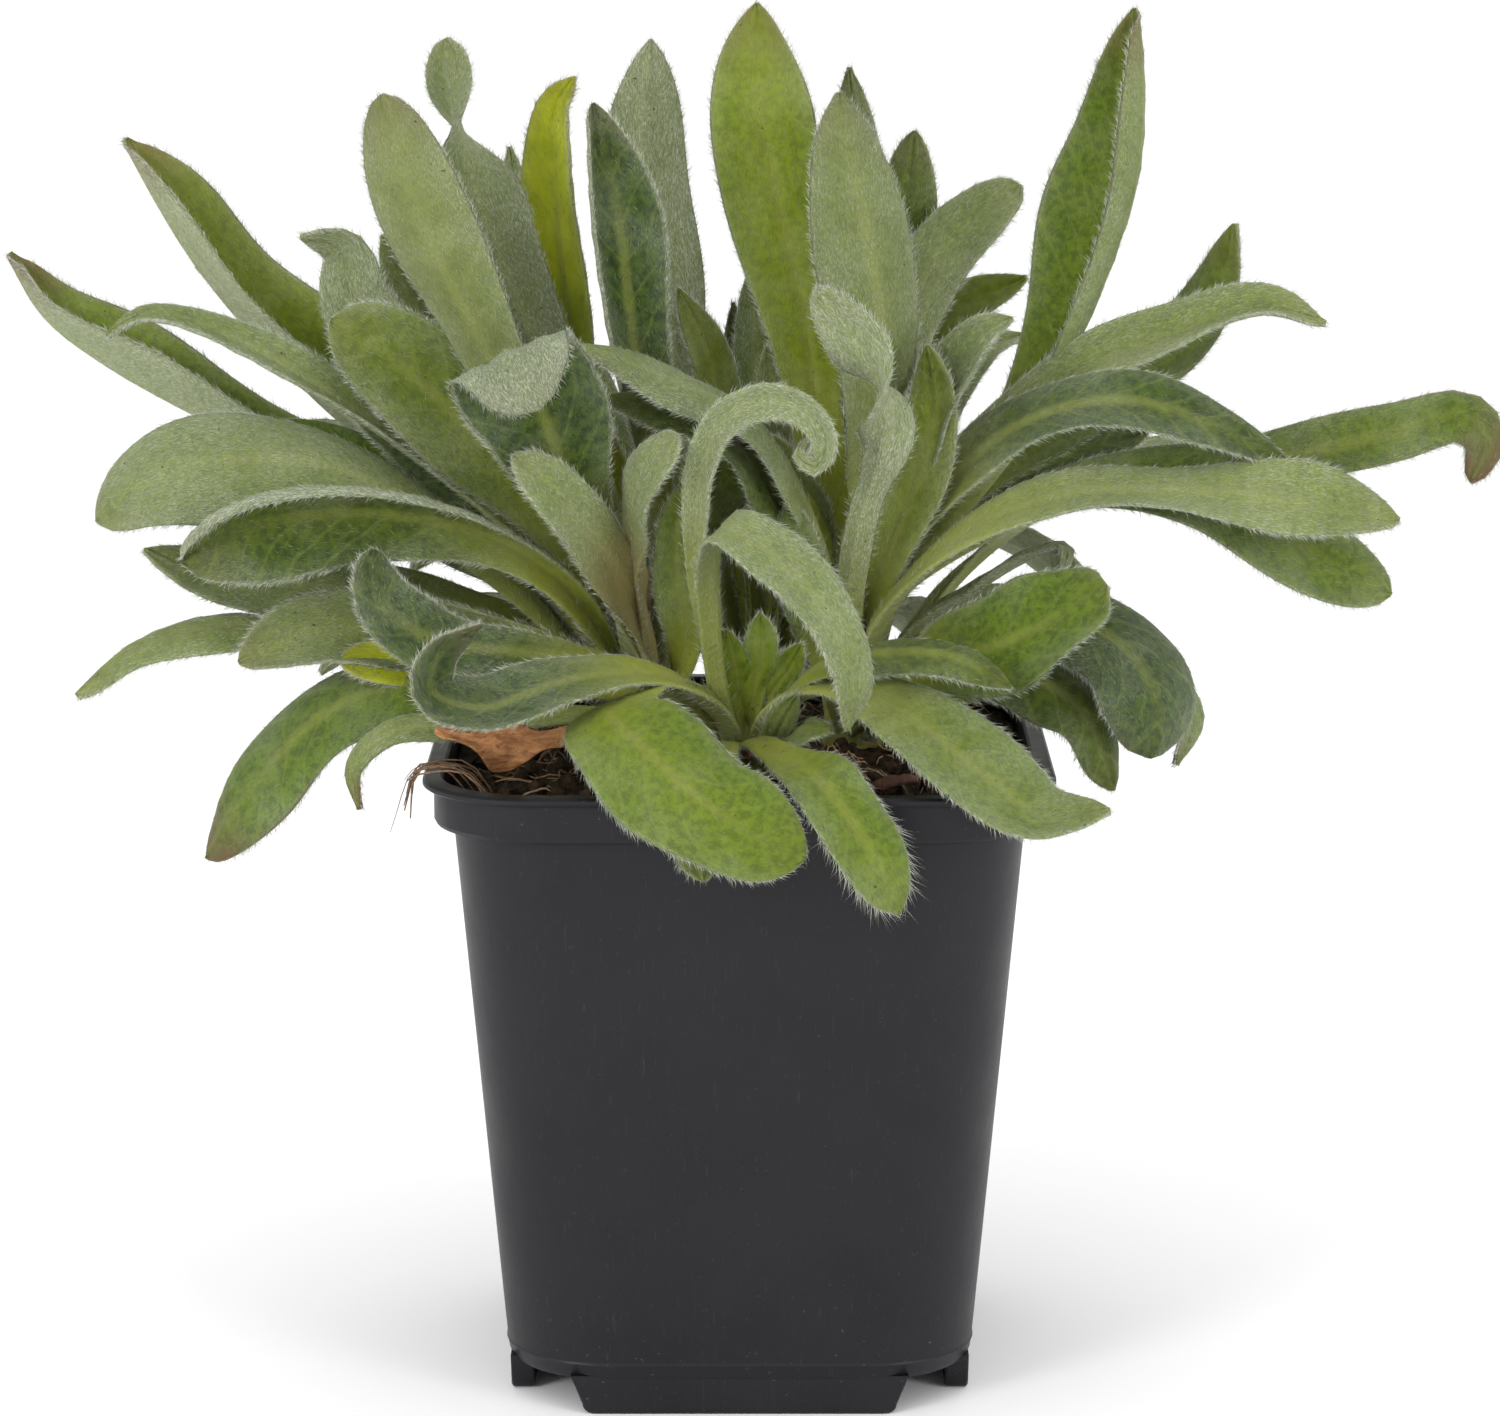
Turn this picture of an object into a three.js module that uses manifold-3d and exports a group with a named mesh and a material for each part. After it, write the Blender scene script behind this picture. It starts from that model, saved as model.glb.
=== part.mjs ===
// A potted white rose campion: a square nursery pot, its soil and four leafy shoots.
// Millimetres, +Z up, the pot's axis on Z, the photographed side towards -Y.
import * as THREE from 'three';
import { mergeVertices } from 'three/addons/utils/BufferGeometryUtils.js';
import Module from 'manifold-3d';

const wasm = await Module();
wasm.setup();

// Pot: a nine centimetre square nursery pot
const POT_HEIGHT = 94;
const LIP_HALF_WIDTH = 45;
const LIP_THICKNESS = 1.2;
const BAND_HALF_WIDTH = 43.5;
const BAND_HEIGHT = 7;
const BODY_TOP_HALF_WIDTH = 40.9;
const BODY_FOOT_HALF_WIDTH = 34;
const POT_CORNER_RADIUS = 15.5;
const POT_WALL = 1.3;
const POT_FLOOR = 1.6;
const CORNER_STEPS = 5;
const TAB_HEIGHT = 5;
const TAB_TOP_HALF_WIDTH = 24.5;
const TAB_FOOT_HALF_WIDTH = 22.5;
const TAB_THICKNESS = 3.4;
const TAB_SUNK = 0.8;
const TAB_INSET = 0.4;
const DRAIN_RADIUS = 4.5;
const DRAIN_OFFSET = 17;

// Soil
const PIECE_GAP = 0.35;
const SOIL_EDGE_HEIGHT = 89.5;
const SOIL_HEAP = 3;
const SOIL_LUMP = 0.7;
const SOIL_RINGS = 5;

// Leaves
const PETIOLE_SHARE = 0.34;
const SWELL = [0.15, 0.75];
const ROOT_THICKNESS = 2.4;
const BLADE_THICKNESS = 1.2;
const EDGE_THICKNESS = 0.8;
const TIP_HALF_WIDTH = 0.55;
const NARROW_LEAF = 15.5;
const CREASED_HALF_WIDTH = 3;
const TIP_CROWDING = 1.5;
const WAVES_ALONG = 2.3;
const TWIST_STRETCH = [0.5, 1];

// Shoots: where each crown stands on the soil
const CROWN_FOOT_HEIGHT = 82;
const CROWN_RADIUS = 5;
const CROWN_SIDES = 10;
const LEFT_CROWN = new THREE.Vector3(-13, 2, 91);
const RIGHT_CROWN = new THREE.Vector3(17, 4, 91);
const FRONT_CROWN = new THREE.Vector3(1, -17, 91);
const BACK_CROWN = new THREE.Vector3(3, 21, 91);

function toSolid(geometry) {
  const bare = geometry.clone();
  bare.deleteAttribute('normal');
  bare.deleteAttribute('uv');
  const merged = mergeVertices(bare, 1e-4);
  return new wasm.Manifold(new wasm.Mesh({
    numProp: 3,
    vertProperties: Float32Array.from(merged.attributes.position.array),
    triVerts: Uint32Array.from(merged.index.array),
  }));
}

function toGeometry(solid) {
  const mesh = solid.getMesh();
  const geometry = new THREE.BufferGeometry();
  geometry.setAttribute('position', new THREE.BufferAttribute(Float32Array.from(mesh.vertProperties), 3));
  geometry.setIndex(new THREE.BufferAttribute(Uint32Array.from(mesh.triVerts), 1));
  geometry.computeVertexNormals();
  return geometry;
}

function joinAll(solids) {
  return solids.reduce((whole, solid) => whole.add(solid));
}

// Keeps the outer skins of a fused solid and fills the pockets sealed between its pieces.
function fillPockets(solid) {
  return joinAll(solid.decompose().filter((piece) => piece.volume() > 0));
}

// A closed solid through rings of equally many points, with a fan over each end.
function loft(rings) {
  const count = rings[0].length;
  const positions = [];
  const triangles = [];
  rings.forEach((ring) => ring.forEach((point) => positions.push(point.x, point.y, point.z)));
  for (let row = 0; row < rings.length - 1; row++) {
    for (let i = 0; i < count; i++) {
      const a = row * count + i;
      const b = row * count + (i + 1) % count;
      triangles.push(a, b, b + count, a, b + count, a + count);
    }
  }
  [0, rings.length - 1].forEach((row) => {
    const centre = rings[row].reduce((sum, point) => sum.add(point), new THREE.Vector3()).divideScalar(count);
    const hub = positions.length / 3;
    positions.push(centre.x, centre.y, centre.z);
    for (let i = 0; i < count; i++) {
      const a = row * count + i;
      const b = row * count + (i + 1) % count;
      triangles.push(...(row === 0 ? [hub, b, a] : [hub, a, b]));
    }
  });
  const geometry = new THREE.BufferGeometry();
  geometry.setAttribute('position', new THREE.Float32BufferAttribute(positions, 3));
  geometry.setIndex(triangles);
  return geometry;
}

// A square with round corners, seen from above, run anticlockwise.
function roundedSquare(halfWidth, radius, height) {
  const points = [];
  for (let corner = 0; corner < 4; corner++) {
    const start = corner * Math.PI / 2;
    const centreX = (halfWidth - radius) * (corner === 0 || corner === 3 ? 1 : -1);
    const centreY = (halfWidth - radius) * (corner < 2 ? 1 : -1);
    for (let step = 0; step <= CORNER_STEPS; step++) {
      const angle = start + step / CORNER_STEPS * Math.PI / 2;
      points.push(new THREE.Vector3(
        centreX + radius * Math.cos(angle), centreY + radius * Math.sin(angle), height));
    }
  }
  return points;
}

function bodyHalfWidth(height) {
  const rise = (height - TAB_HEIGHT) / (POT_HEIGHT - BAND_HEIGHT - TAB_HEIGHT);
  return THREE.MathUtils.lerp(BODY_FOOT_HALF_WIDTH, BODY_TOP_HALF_WIDTH, rise);
}

function potShell() {
  const bandFoot = POT_HEIGHT - BAND_HEIGHT;
  const floorTop = TAB_HEIGHT + POT_FLOOR;
  const insideTop = BAND_HALF_WIDTH - POT_WALL;
  const insideNeck = BODY_TOP_HALF_WIDTH - POT_WALL;
  return toSolid(loft([
    roundedSquare(BODY_FOOT_HALF_WIDTH - 1, POT_CORNER_RADIUS - 1, TAB_HEIGHT),
    roundedSquare(BODY_FOOT_HALF_WIDTH, POT_CORNER_RADIUS, TAB_HEIGHT + 1),
    roundedSquare(BODY_TOP_HALF_WIDTH, POT_CORNER_RADIUS, bandFoot),
    roundedSquare(BAND_HALF_WIDTH - 0.5, POT_CORNER_RADIUS, bandFoot),
    roundedSquare(BAND_HALF_WIDTH, POT_CORNER_RADIUS, bandFoot + 1),
    roundedSquare(BAND_HALF_WIDTH, POT_CORNER_RADIUS, POT_HEIGHT - LIP_THICKNESS),
    roundedSquare(LIP_HALF_WIDTH, POT_CORNER_RADIUS, POT_HEIGHT - LIP_THICKNESS),
    roundedSquare(LIP_HALF_WIDTH, POT_CORNER_RADIUS, POT_HEIGHT),
    roundedSquare(insideTop, POT_CORNER_RADIUS - POT_WALL, POT_HEIGHT),
    roundedSquare(insideTop, POT_CORNER_RADIUS - POT_WALL, bandFoot + POT_WALL),
    roundedSquare(insideNeck, POT_CORNER_RADIUS - POT_WALL, bandFoot),
    roundedSquare(bodyHalfWidth(floorTop) - POT_WALL, POT_CORNER_RADIUS - POT_WALL, floorTop),
  ]));
}

// One foot: a flat tab under the middle of a side, with its lower corners rounded.
function footTab(side) {
  const round = 1.5;
  const top = TAB_HEIGHT + TAB_SUNK;
  const outline = new THREE.Shape();
  outline.moveTo(-TAB_TOP_HALF_WIDTH, top);
  outline.lineTo(-TAB_FOOT_HALF_WIDTH - 0.3, round);
  outline.lineTo(-TAB_FOOT_HALF_WIDTH + round, 0);
  outline.lineTo(TAB_FOOT_HALF_WIDTH - round, 0);
  outline.lineTo(TAB_FOOT_HALF_WIDTH + 0.3, round);
  outline.lineTo(TAB_TOP_HALF_WIDTH, top);
  const tab = new THREE.ExtrudeGeometry(outline, { depth: TAB_THICKNESS, bevelEnabled: false });
  tab.rotateX(Math.PI / 2);
  tab.translate(0, TAB_THICKNESS - BODY_FOOT_HALF_WIDTH + TAB_INSET, 0);
  tab.rotateZ(side * Math.PI / 2);
  return toSolid(tab);
}

function drainHole(x, y) {
  const drill = new THREE.CylinderGeometry(DRAIN_RADIUS, DRAIN_RADIUS, 4 * POT_FLOOR, 12);
  drill.rotateX(Math.PI / 2);
  drill.translate(x, y, TAB_HEIGHT + POT_FLOOR / 2);
  return toSolid(drill);
}

function potSolid() {
  const tabs = [0, 1, 2, 3].map(footTab);
  const signs = [-1, 1];
  const corners = signs.flatMap((sx) => signs.map((sy) => drainHole(sx * DRAIN_OFFSET, sy * DRAIN_OFFSET)));
  return joinAll([potShell(), ...tabs]).subtract(joinAll([...corners, drainHole(0, 0)]));
}

function soilHeight(x, y, inward) {
  const lumps = Math.sin(x * 0.31 + 1.2) * Math.cos(y * 0.27) + 0.6 * Math.sin(x * 0.57 + y * 0.49);
  return SOIL_EDGE_HEIGHT + SOIL_HEAP * Math.sin(inward * Math.PI / 2) + SOIL_LUMP * lumps * inward;
}

function soilBody() {
  const clear = POT_WALL + PIECE_GAP;
  const foot = TAB_HEIGHT + POT_FLOOR + PIECE_GAP;
  const neck = POT_HEIGHT - BAND_HEIGHT;
  const radius = POT_CORNER_RADIUS - clear;
  const edge = BAND_HALF_WIDTH - clear;
  const rings = [
    roundedSquare(bodyHalfWidth(foot) - clear, radius, foot),
    roundedSquare(BODY_TOP_HALF_WIDTH - clear, radius, neck),
    roundedSquare(edge, radius, neck + POT_WALL + PIECE_GAP),
  ];
  for (let ring = 0; ring < SOIL_RINGS; ring++) {
    const inward = ring / SOIL_RINGS;
    const points = roundedSquare(edge * (1 - inward), radius * (1 - inward), 0);
    points.forEach((point) => { point.z = soilHeight(point.x, point.y, inward); });
    rings.push(points);
  }
  return toSolid(loft(rings));
}

// A plain round socket in the soil for one crown.
function crownSocket(crown) {
  const radius = CROWN_RADIUS + PIECE_GAP;
  const socket = new THREE.CylinderGeometry(radius, radius, 30, CROWN_SIDES);
  socket.rotateX(Math.PI / 2);
  socket.translate(crown.x, crown.y, CROWN_FOOT_HEIGHT - PIECE_GAP + 15);
  return toSolid(socket);
}

function soilSolid() {
  const sockets = [LEFT_CROWN, RIGHT_CROWN, FRONT_CROWN, BACK_CROWN].map(crownSocket);
  return soilBody().subtract(joinAll(sockets));
}

// The stub of stem that a shoot's leaves spring from.
function crownSolid(crown, height) {
  const profile = [
    new THREE.Vector2(0, CROWN_FOOT_HEIGHT),
    new THREE.Vector2(CROWN_RADIUS, CROWN_FOOT_HEIGHT),
    new THREE.Vector2(CROWN_RADIUS, crown.z + 3),
    new THREE.Vector2(CROWN_RADIUS * 0.5, height),
    new THREE.Vector2(0, height),
  ];
  const stub = new THREE.LatheGeometry(profile, CROWN_SIDES);
  stub.rotateX(Math.PI / 2);
  stub.translate(crown.x, crown.y, 0);
  return toSolid(stub);
}

// Half the blade's width along the leaf: a narrow petiole that swells to the widest place, then a tip.
function halfWidthAt(along, width, { blunt = 0.2, petiole = PETIOLE_SHARE, swell = SWELL }) {
  const grown = petiole + (1 - petiole) * THREE.MathUtils.smoothstep(along, ...swell);
  const taper = Math.pow(Math.max(1 - Math.pow(along, 7 + 5 * blunt), 0), 0.85 - 0.4 * blunt);
  return Math.max(width / 2 * grown * taper, TIP_HALF_WIDTH);
}

// Frames carried along the route without spinning: the side vector stays level at the root.
function carriedSides(points, tangents) {
  const heading = points[points.length - 1].clone().sub(points[0]);
  heading.z = 0;
  const sides = [new THREE.Vector3(0, 0, 1).cross(heading).projectOnPlane(tangents[0]).normalize()];
  for (let i = 1; i < points.length; i++) {
    const turn = new THREE.Quaternion().setFromUnitVectors(tangents[i - 1], tangents[i]);
    sides.push(sides[i - 1].clone().applyQuaternion(turn).normalize());
  }
  return sides;
}

// How far the blade rolls about its route so that its upper face looks along "faces".
function rollToFace(faces, tangent, side) {
  const wanted = new THREE.Vector3(...faces).projectOnPlane(tangent).normalize();
  const upper = tangent.clone().cross(side);
  return Math.atan2(-wanted.dot(side), wanted.dot(upper));
}

// A point of a section: t runs from one margin (-1) over the midrib (0) to the other (1). Each half
// rises from the midrib at the fold's angle and then bends on through the cup's angle in an arc.
function sectionPoint(half, fold, cup, t) {
  const bend = Math.abs(cup) < 0.01 ? 0.01 : cup;
  const angle = fold + bend * Math.abs(t);
  const out = Math.sign(t) * half * (Math.sin(angle) - Math.sin(fold)) / bend;
  const lift = half * (Math.cos(fold) - Math.cos(angle)) / bend;
  return { out, lift, angle: t === 0 ? 0 : angle };
}

// One section of a leaf: its upper row of points and then its lower row, from margin to margin.
function leafSection({ point, side, upper, half, thick, folds, cups, lifts }, across) {
  const rows = { top: [], under: [] };
  across.forEach((t) => {
    const wing = t < 0 ? 0 : 1;
    const { out, lift, angle } = sectionPoint(half, folds[wing], cups[wing], t);
    const normal = side.clone().multiplyScalar(-Math.sign(t) * Math.sin(angle))
      .addScaledVector(upper, Math.cos(angle));
    const thickness = THREE.MathUtils.lerp(thick, EDGE_THICKNESS, Math.abs(t));
    const centre = point.clone().addScaledVector(side, out).addScaledVector(upper, lift + lifts(t));
    rows.top.push(centre.clone().addScaledVector(normal, thickness / 2));
    rows.under.push(centre.clone().addScaledVector(normal, -thickness / 2));
  });
  return [...rows.top, ...rows.under];
}

// The angles of both halves, in radians, from one number for the two or a pair.
function bothHalves(degrees) {
  return [degrees].flat().concat(degrees).slice(0, 2).map(THREE.MathUtils.degToRad);
}

// A leaf grown along a route of points from its root to its tip. "fold" creases it along the midrib
// and "cup" bends its margins up in an arc, down if negative; either may be a pair, for the two
// halves. "twist" turns the tip over a "stretch", "blunt" rounds it and "wave" ruffles the margins.
// "petiole" is the root's share of the width and "swell" the stretch over which the blade widens, as
// shares of the length. "steps" is the number of sections where a bend or a bud asks for its own.
function leaf(route, width, options = {}) {
  const { faces, twist = 0, stretch = TWIST_STRETCH, wave = 0 } = options;
  const fold = bothHalves(options.fold ?? 0);
  const cup = bothHalves(options.cup ?? 15);
  const narrow = width < NARROW_LEAF;
  const steps = options.steps ?? (narrow ? 7 : 8);
  const across = narrow ? [-1, 0, 1] : [-1, -0.5, 0, 0.5, 1];
  const curve = new THREE.CatmullRomCurve3(route.map((point) => new THREE.Vector3(...point)));
  const alongs = Array.from({ length: steps + 1 }, (_, i) => 1 - Math.pow(1 - i / steps, TIP_CROWDING));
  const points = alongs.map((along) => curve.getPointAt(along));
  const tangents = alongs.map((along) => curve.getTangentAt(along));
  const sides = carriedSides(points, tangents);
  const middle = alongs.findIndex((along) => along > 0.6);
  const roll = faces ? rollToFace(faces, tangents[middle], sides[middle]) : 0;
  const sections = points.map((point, i) => {
    const along = alongs[i];
    const half = halfWidthAt(along, width, options);
    const ease = THREE.MathUtils.smoothstep(along, 0, 0.5);
    const thick = THREE.MathUtils.lerp(ROOT_THICKNESS, BLADE_THICKNESS, ease);
    const twisted = THREE.MathUtils.degToRad(twist) * THREE.MathUtils.smoothstep(along, ...stretch);
    const turned = roll * ease + twisted;
    const side = sides[i].clone().applyAxisAngle(tangents[i], turned);
    const upper = tangents[i].clone().cross(side);
    const opened = THREE.MathUtils.smoothstep(half, 0, CREASED_HALF_WIDTH);
    const folds = fold.map((angle) => angle * opened);
    const cups = cup.map((angle) => angle * opened);
    const ruffle = wave * half * THREE.MathUtils.smoothstep(along, 0.3, 0.6);
    const lifts = (t) => ruffle * t * t * Math.sin(2 * Math.PI * WAVES_ALONG * along + 1.3 * Math.sign(t));
    return leafSection({ point, side, upper, half, thick, folds, cups, lifts }, across);
  });
  return toSolid(bladeGeometry(sections, across.length));
}

// The closed skin of a blade. The upper and the lower face are split along the same diagonals.
function bladeGeometry(sections, columns) {
  const count = 2 * columns;
  const positions = sections.flat().flatMap((point) => [point.x, point.y, point.z]);
  const triangles = [];
  const quad = (a, b, c, d) => triangles.push(a, b, c, a, c, d);
  for (let row = 0; row < sections.length - 1; row++) {
    const here = row * count;
    const next = here + count;
    for (let i = 0; i < columns - 1; i++) {
      const j = columns + i;
      quad(here + i, next + i, next + i + 1, here + i + 1);
      quad(here + j, here + j + 1, next + j + 1, next + j);
    }
    quad(here, here + columns, next + columns, next);
    quad(here + count - 1, here + columns - 1, next + columns - 1, next + count - 1);
  }
  const last = (sections.length - 1) * count;
  for (let i = 0; i < columns - 1; i++) {
    quad(i, i + 1, columns + i + 1, columns + i);
    quad(last + columns + i, last + columns + i + 1, last + i + 1, last + i);
  }
  const geometry = new THREE.BufferGeometry();
  geometry.setAttribute('position', new THREE.Float32BufferAttribute(positions, 3));
  geometry.setIndex(triangles);
  return geometry;
}

// A shoot: its leaves, each rooted inside the crown on the side that it leaves by, fused into one.
function shootSolid(crown, height, leaves) {
  const grown = leaves.map(([route, width, options]) => {
    const [x, y] = route[0];
    const lean = new THREE.Vector3(x - crown.x, y - crown.y, 0).setLength(2);
    const root = [crown.x + lean.x, crown.y + lean.y, crown.z + 2];
    return leaf([root, ...route], width, options);
  });
  return fillPockets(joinAll([crownSolid(crown, height), ...grown]));
}

// Leaf lists. Each leaf is the points of its midrib beyond the crown, its widest width and its shape.
const LEFT_SHOOT = [
  // the long outer leaves
  [[[-30, 2, 113], [-51, 8, 125], [-76, 15, 137], [-94, 20, 146], [-104, 24, 153], [-110, 27, 162]], 19,
    { faces: [0.2, -0.2, 1], fold: 45, cup: 25, swell: [0.25, 0.8] }],
  [[[-27, 6, 113], [-46, 12, 128], [-65, 16, 144], [-80, 18, 161], [-91, 18, 180]], 25,
    { faces: [0.6, -0.45, 0.6], fold: 45, cup: 15, blunt: 0, swell: [0.2, 0.75] }],
  [[[-30, 12, 116], [-54, 23, 133], [-68, 28, 146], [-82, 30, 160]], 15, { faces: [0.4, 0.4, 0.8] }],
  [[[-26, -3, 117], [-39, -3, 130], [-49, -4, 138], [-59, -5, 145], [-70, -7, 152], [-79, -8, 156],
    [-86, -8, 157], [-91, -8, 154]], 7.5, { faces: [0, -0.5, 0.85], cup: 50 }],
  [[[-29, -4, 113], [-45, -8, 128], [-62, -12, 136], [-77, -14, 136], [-86, -15, 133], [-92, -16, 128]], 23,
    { faces: [0, -0.6, 0.8], cup: -20, blunt: 0.7, swell: [0.3, 0.85] }],
  [[[-25, -10, 117], [-37, -15, 126], [-50, -20, 130], [-62, -22, 130], [-72, -24, 128], [-79, -26, 124]], 19,
    { faces: [-0.1, -0.9, 0.3], cup: [150, 15], blunt: 0.9, swell: [0.35, 0.85] }],
  // the low leaves on the left
  [[[-26, 0, 108], [-43, -2, 113], [-60, -3, 116], [-76, -4, 118], [-87, -4, 122]], 13,
    { faces: [0, -0.7, 0.7] }],
  [[[-23, -8, 105], [-38, -13, 109], [-52, -16, 112], [-63, -17, 112], [-72, -18, 108]], 17,
    { faces: [0, -0.85, 0.35], cup: 75 }],
  [[[-22, -4, 103], [-38, -8, 106], [-55, -10, 109], [-73, -11, 112], [-87, -12, 109], [-96, -13, 102]], 11,
    { faces: [0, -0.35, 1], cup: -25, blunt: 0.6 }],
  [[[-17, -14, 106], [-31, -20, 110], [-43, -23, 112], [-50, -25, 117], [-52, -26, 122], [-52, -26, 126]], 10,
    { faces: [0.6, -0.8, 0.3], blunt: 1, swell: [0.3, 0.8] }],
  [[[-15, -14, 103], [-30, -19, 106], [-46, -21, 106], [-59, -20, 101], [-69, -19, 91], [-77, -18, 79]], 16,
    { faces: [-0.3, -0.6, 0.7], cup: -15, blunt: 0.7 }],
  [[[-14, -18, 100], [-28, -25, 102], [-41, -27, 101], [-50, -28, 100], [-55, -29, 95], [-54, -29, 89]], 5.5,
    { faces: [-0.4, -0.7, 0.6], cup: -50 }],
  [[[-14, -6, 100], [-26, -10, 103], [-38, -15, 106], [-48, -19, 108], [-57, -22, 109]], 8,
    { faces: [0, -0.8, 0.6], blunt: 1 }],
  // the upright leaves
  [[[-20, -3, 120], [-29, -7, 137], [-37, -10, 154], [-46, -12, 173], [-50.5, -13, 189]], 16.5,
    { faces: [0.4, 0.9, 0.1], blunt: 0.7, swell: [0.3, 0.9] }],
  [[[-18, 2, 123], [-26, 2, 143], [-34, 4, 162], [-40, 2, 179], [-42, 0, 196]], 14,
    { faces: [0.3, 0.9, 0.1], twist: 165, stretch: [0.7, 1], wave: 0.15, swell: [0.3, 0.8], blunt: 0.9,
      steps: 12 }],
  [[[-15, 12, 121], [-25, 15, 144], [-32, 16, 165], [-34, 16, 179]], 8, { faces: [0, -1, 0] }],
  [[[-15, 6, 122], [-22, 8, 142], [-26, 8, 162], [-27, 8, 178], [-26.5, 7, 186], [-24, 5, 190]], 14,
    { faces: [-0.4, -0.9, 0.1], cup: [70, 30], swell: [0.3, 0.85] }],
  [[[-12, 0, 120], [-14, -1, 141], [-16, -2, 158], [-18, -3, 174], [-21, -4, 187]], 15.5,
    { faces: [0, -1, 0.1], cup: [30, 110], swell: [0.3, 0.85] }],
  [[[-10, 9, 118], [-9, 12, 139], [-11, 13, 157], [-14, 13, 176], [-13, 12, 195]], 16,
    { faces: [0, 1, 0.1], swell: [0.3, 0.85] }],
  [[[-6, 8, 117], [-3, 9, 134], [-4, 8, 148], [-9, 7, 159]], 8, { faces: [0.2, -0.9, 0.1] }],
  // the broad middle leaves
  [[[-17, -8, 114], [-21, -12.5, 126], [-25.5, -17, 137], [-28.5, -20, 145.5], [-31.5, -22.5, 150.5],
    [-32.5, -26, 153.5], [-31.5, -29.5, 153], [-30, -31, 150], [-28, -31, 146.5]], 20,
    { faces: [0.1, -1, 0.1], blunt: 0.9, swell: [0.4, 0.78], cup: 12, steps: 16 }],
  [[[-22, -3, 119], [-32, -5, 133], [-43, -6, 144], [-52, -6, 152], [-59, -6, 156]], 18,
    { faces: [-0.3, -0.8, 0.5], blunt: 0.6, swell: [0.3, 0.8] }],
  [[[-22, 4, 118], [-35, 6, 132], [-49, 7, 146], [-56, 7, 157], [-58, 6, 165], [-64, 4, 167]], 14,
    { faces: [-0.5, -0.8, 0.3] }],
  [[[-21, 12, 118], [-36, 15, 138], [-46, 16, 153], [-53, 16, 166]], 12, { faces: [-0.2, -0.9, 0.4] }],
  [[[-26, 0, 116], [-36, 1, 130], [-44, 2, 136], [-58, 2, 144]], 15, { faces: [0, -0.7, 0.7] }],
  [[[-28, 4, 113], [-44, 6, 124], [-56, 8, 132], [-68, 10, 139]], 12, { faces: [0, -0.8, 0.5] }],
  [[[-13.5, -6, 108], [-15.5, -10, 120], [-15, -14.5, 127], [-14.5, -18, 132.5], [-12.5, -20.5, 137],
    [-8.5, -22.5, 141.5]], 9.5,
    { faces: [-0.3, -0.7, 0.7], blunt: 1, petiole: 0.6, swell: [0.5, 0.8], cup: 10 }],
  [[[-15, -9, 113], [-19, -15, 122], [-23, -19, 128.5], [-27, -22.5, 134], [-32, -24.5, 139]], 10.5,
    { faces: [0.3, -0.8, 0.5], cup: 30, petiole: 0.6, swell: [0.2, 0.6], blunt: 0.6 }],
  // the back of the shoot
  [[[-24, 16, 112], [-40, 28, 124], [-58, 38, 132], [-74, 44, 130]], 15, { faces: [-0.3, 0.5, 0.8] }],
  [[[-22, 20, 106], [-38, 32, 108], [-54, 42, 104], [-66, 46, 94]], 13, { faces: [-0.3, 0.5, 0.8] }],
  [[[-16, 16, 118], [-22, 26, 134], [-28, 34, 146], [-36, 40, 150]], 12, { faces: [0, -0.3, 1], cup: 40 }],
  [[[-8, 4, 112], [-4, 4, 126], [0, 2, 138]], 10, { faces: [0, -1, 0] }],
  [[[-8, -6, 108], [-9, -9, 122], [-8, -9, 133]], 9, { faces: [0.2, -1, 0.2], steps: 5 }],
];

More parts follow.
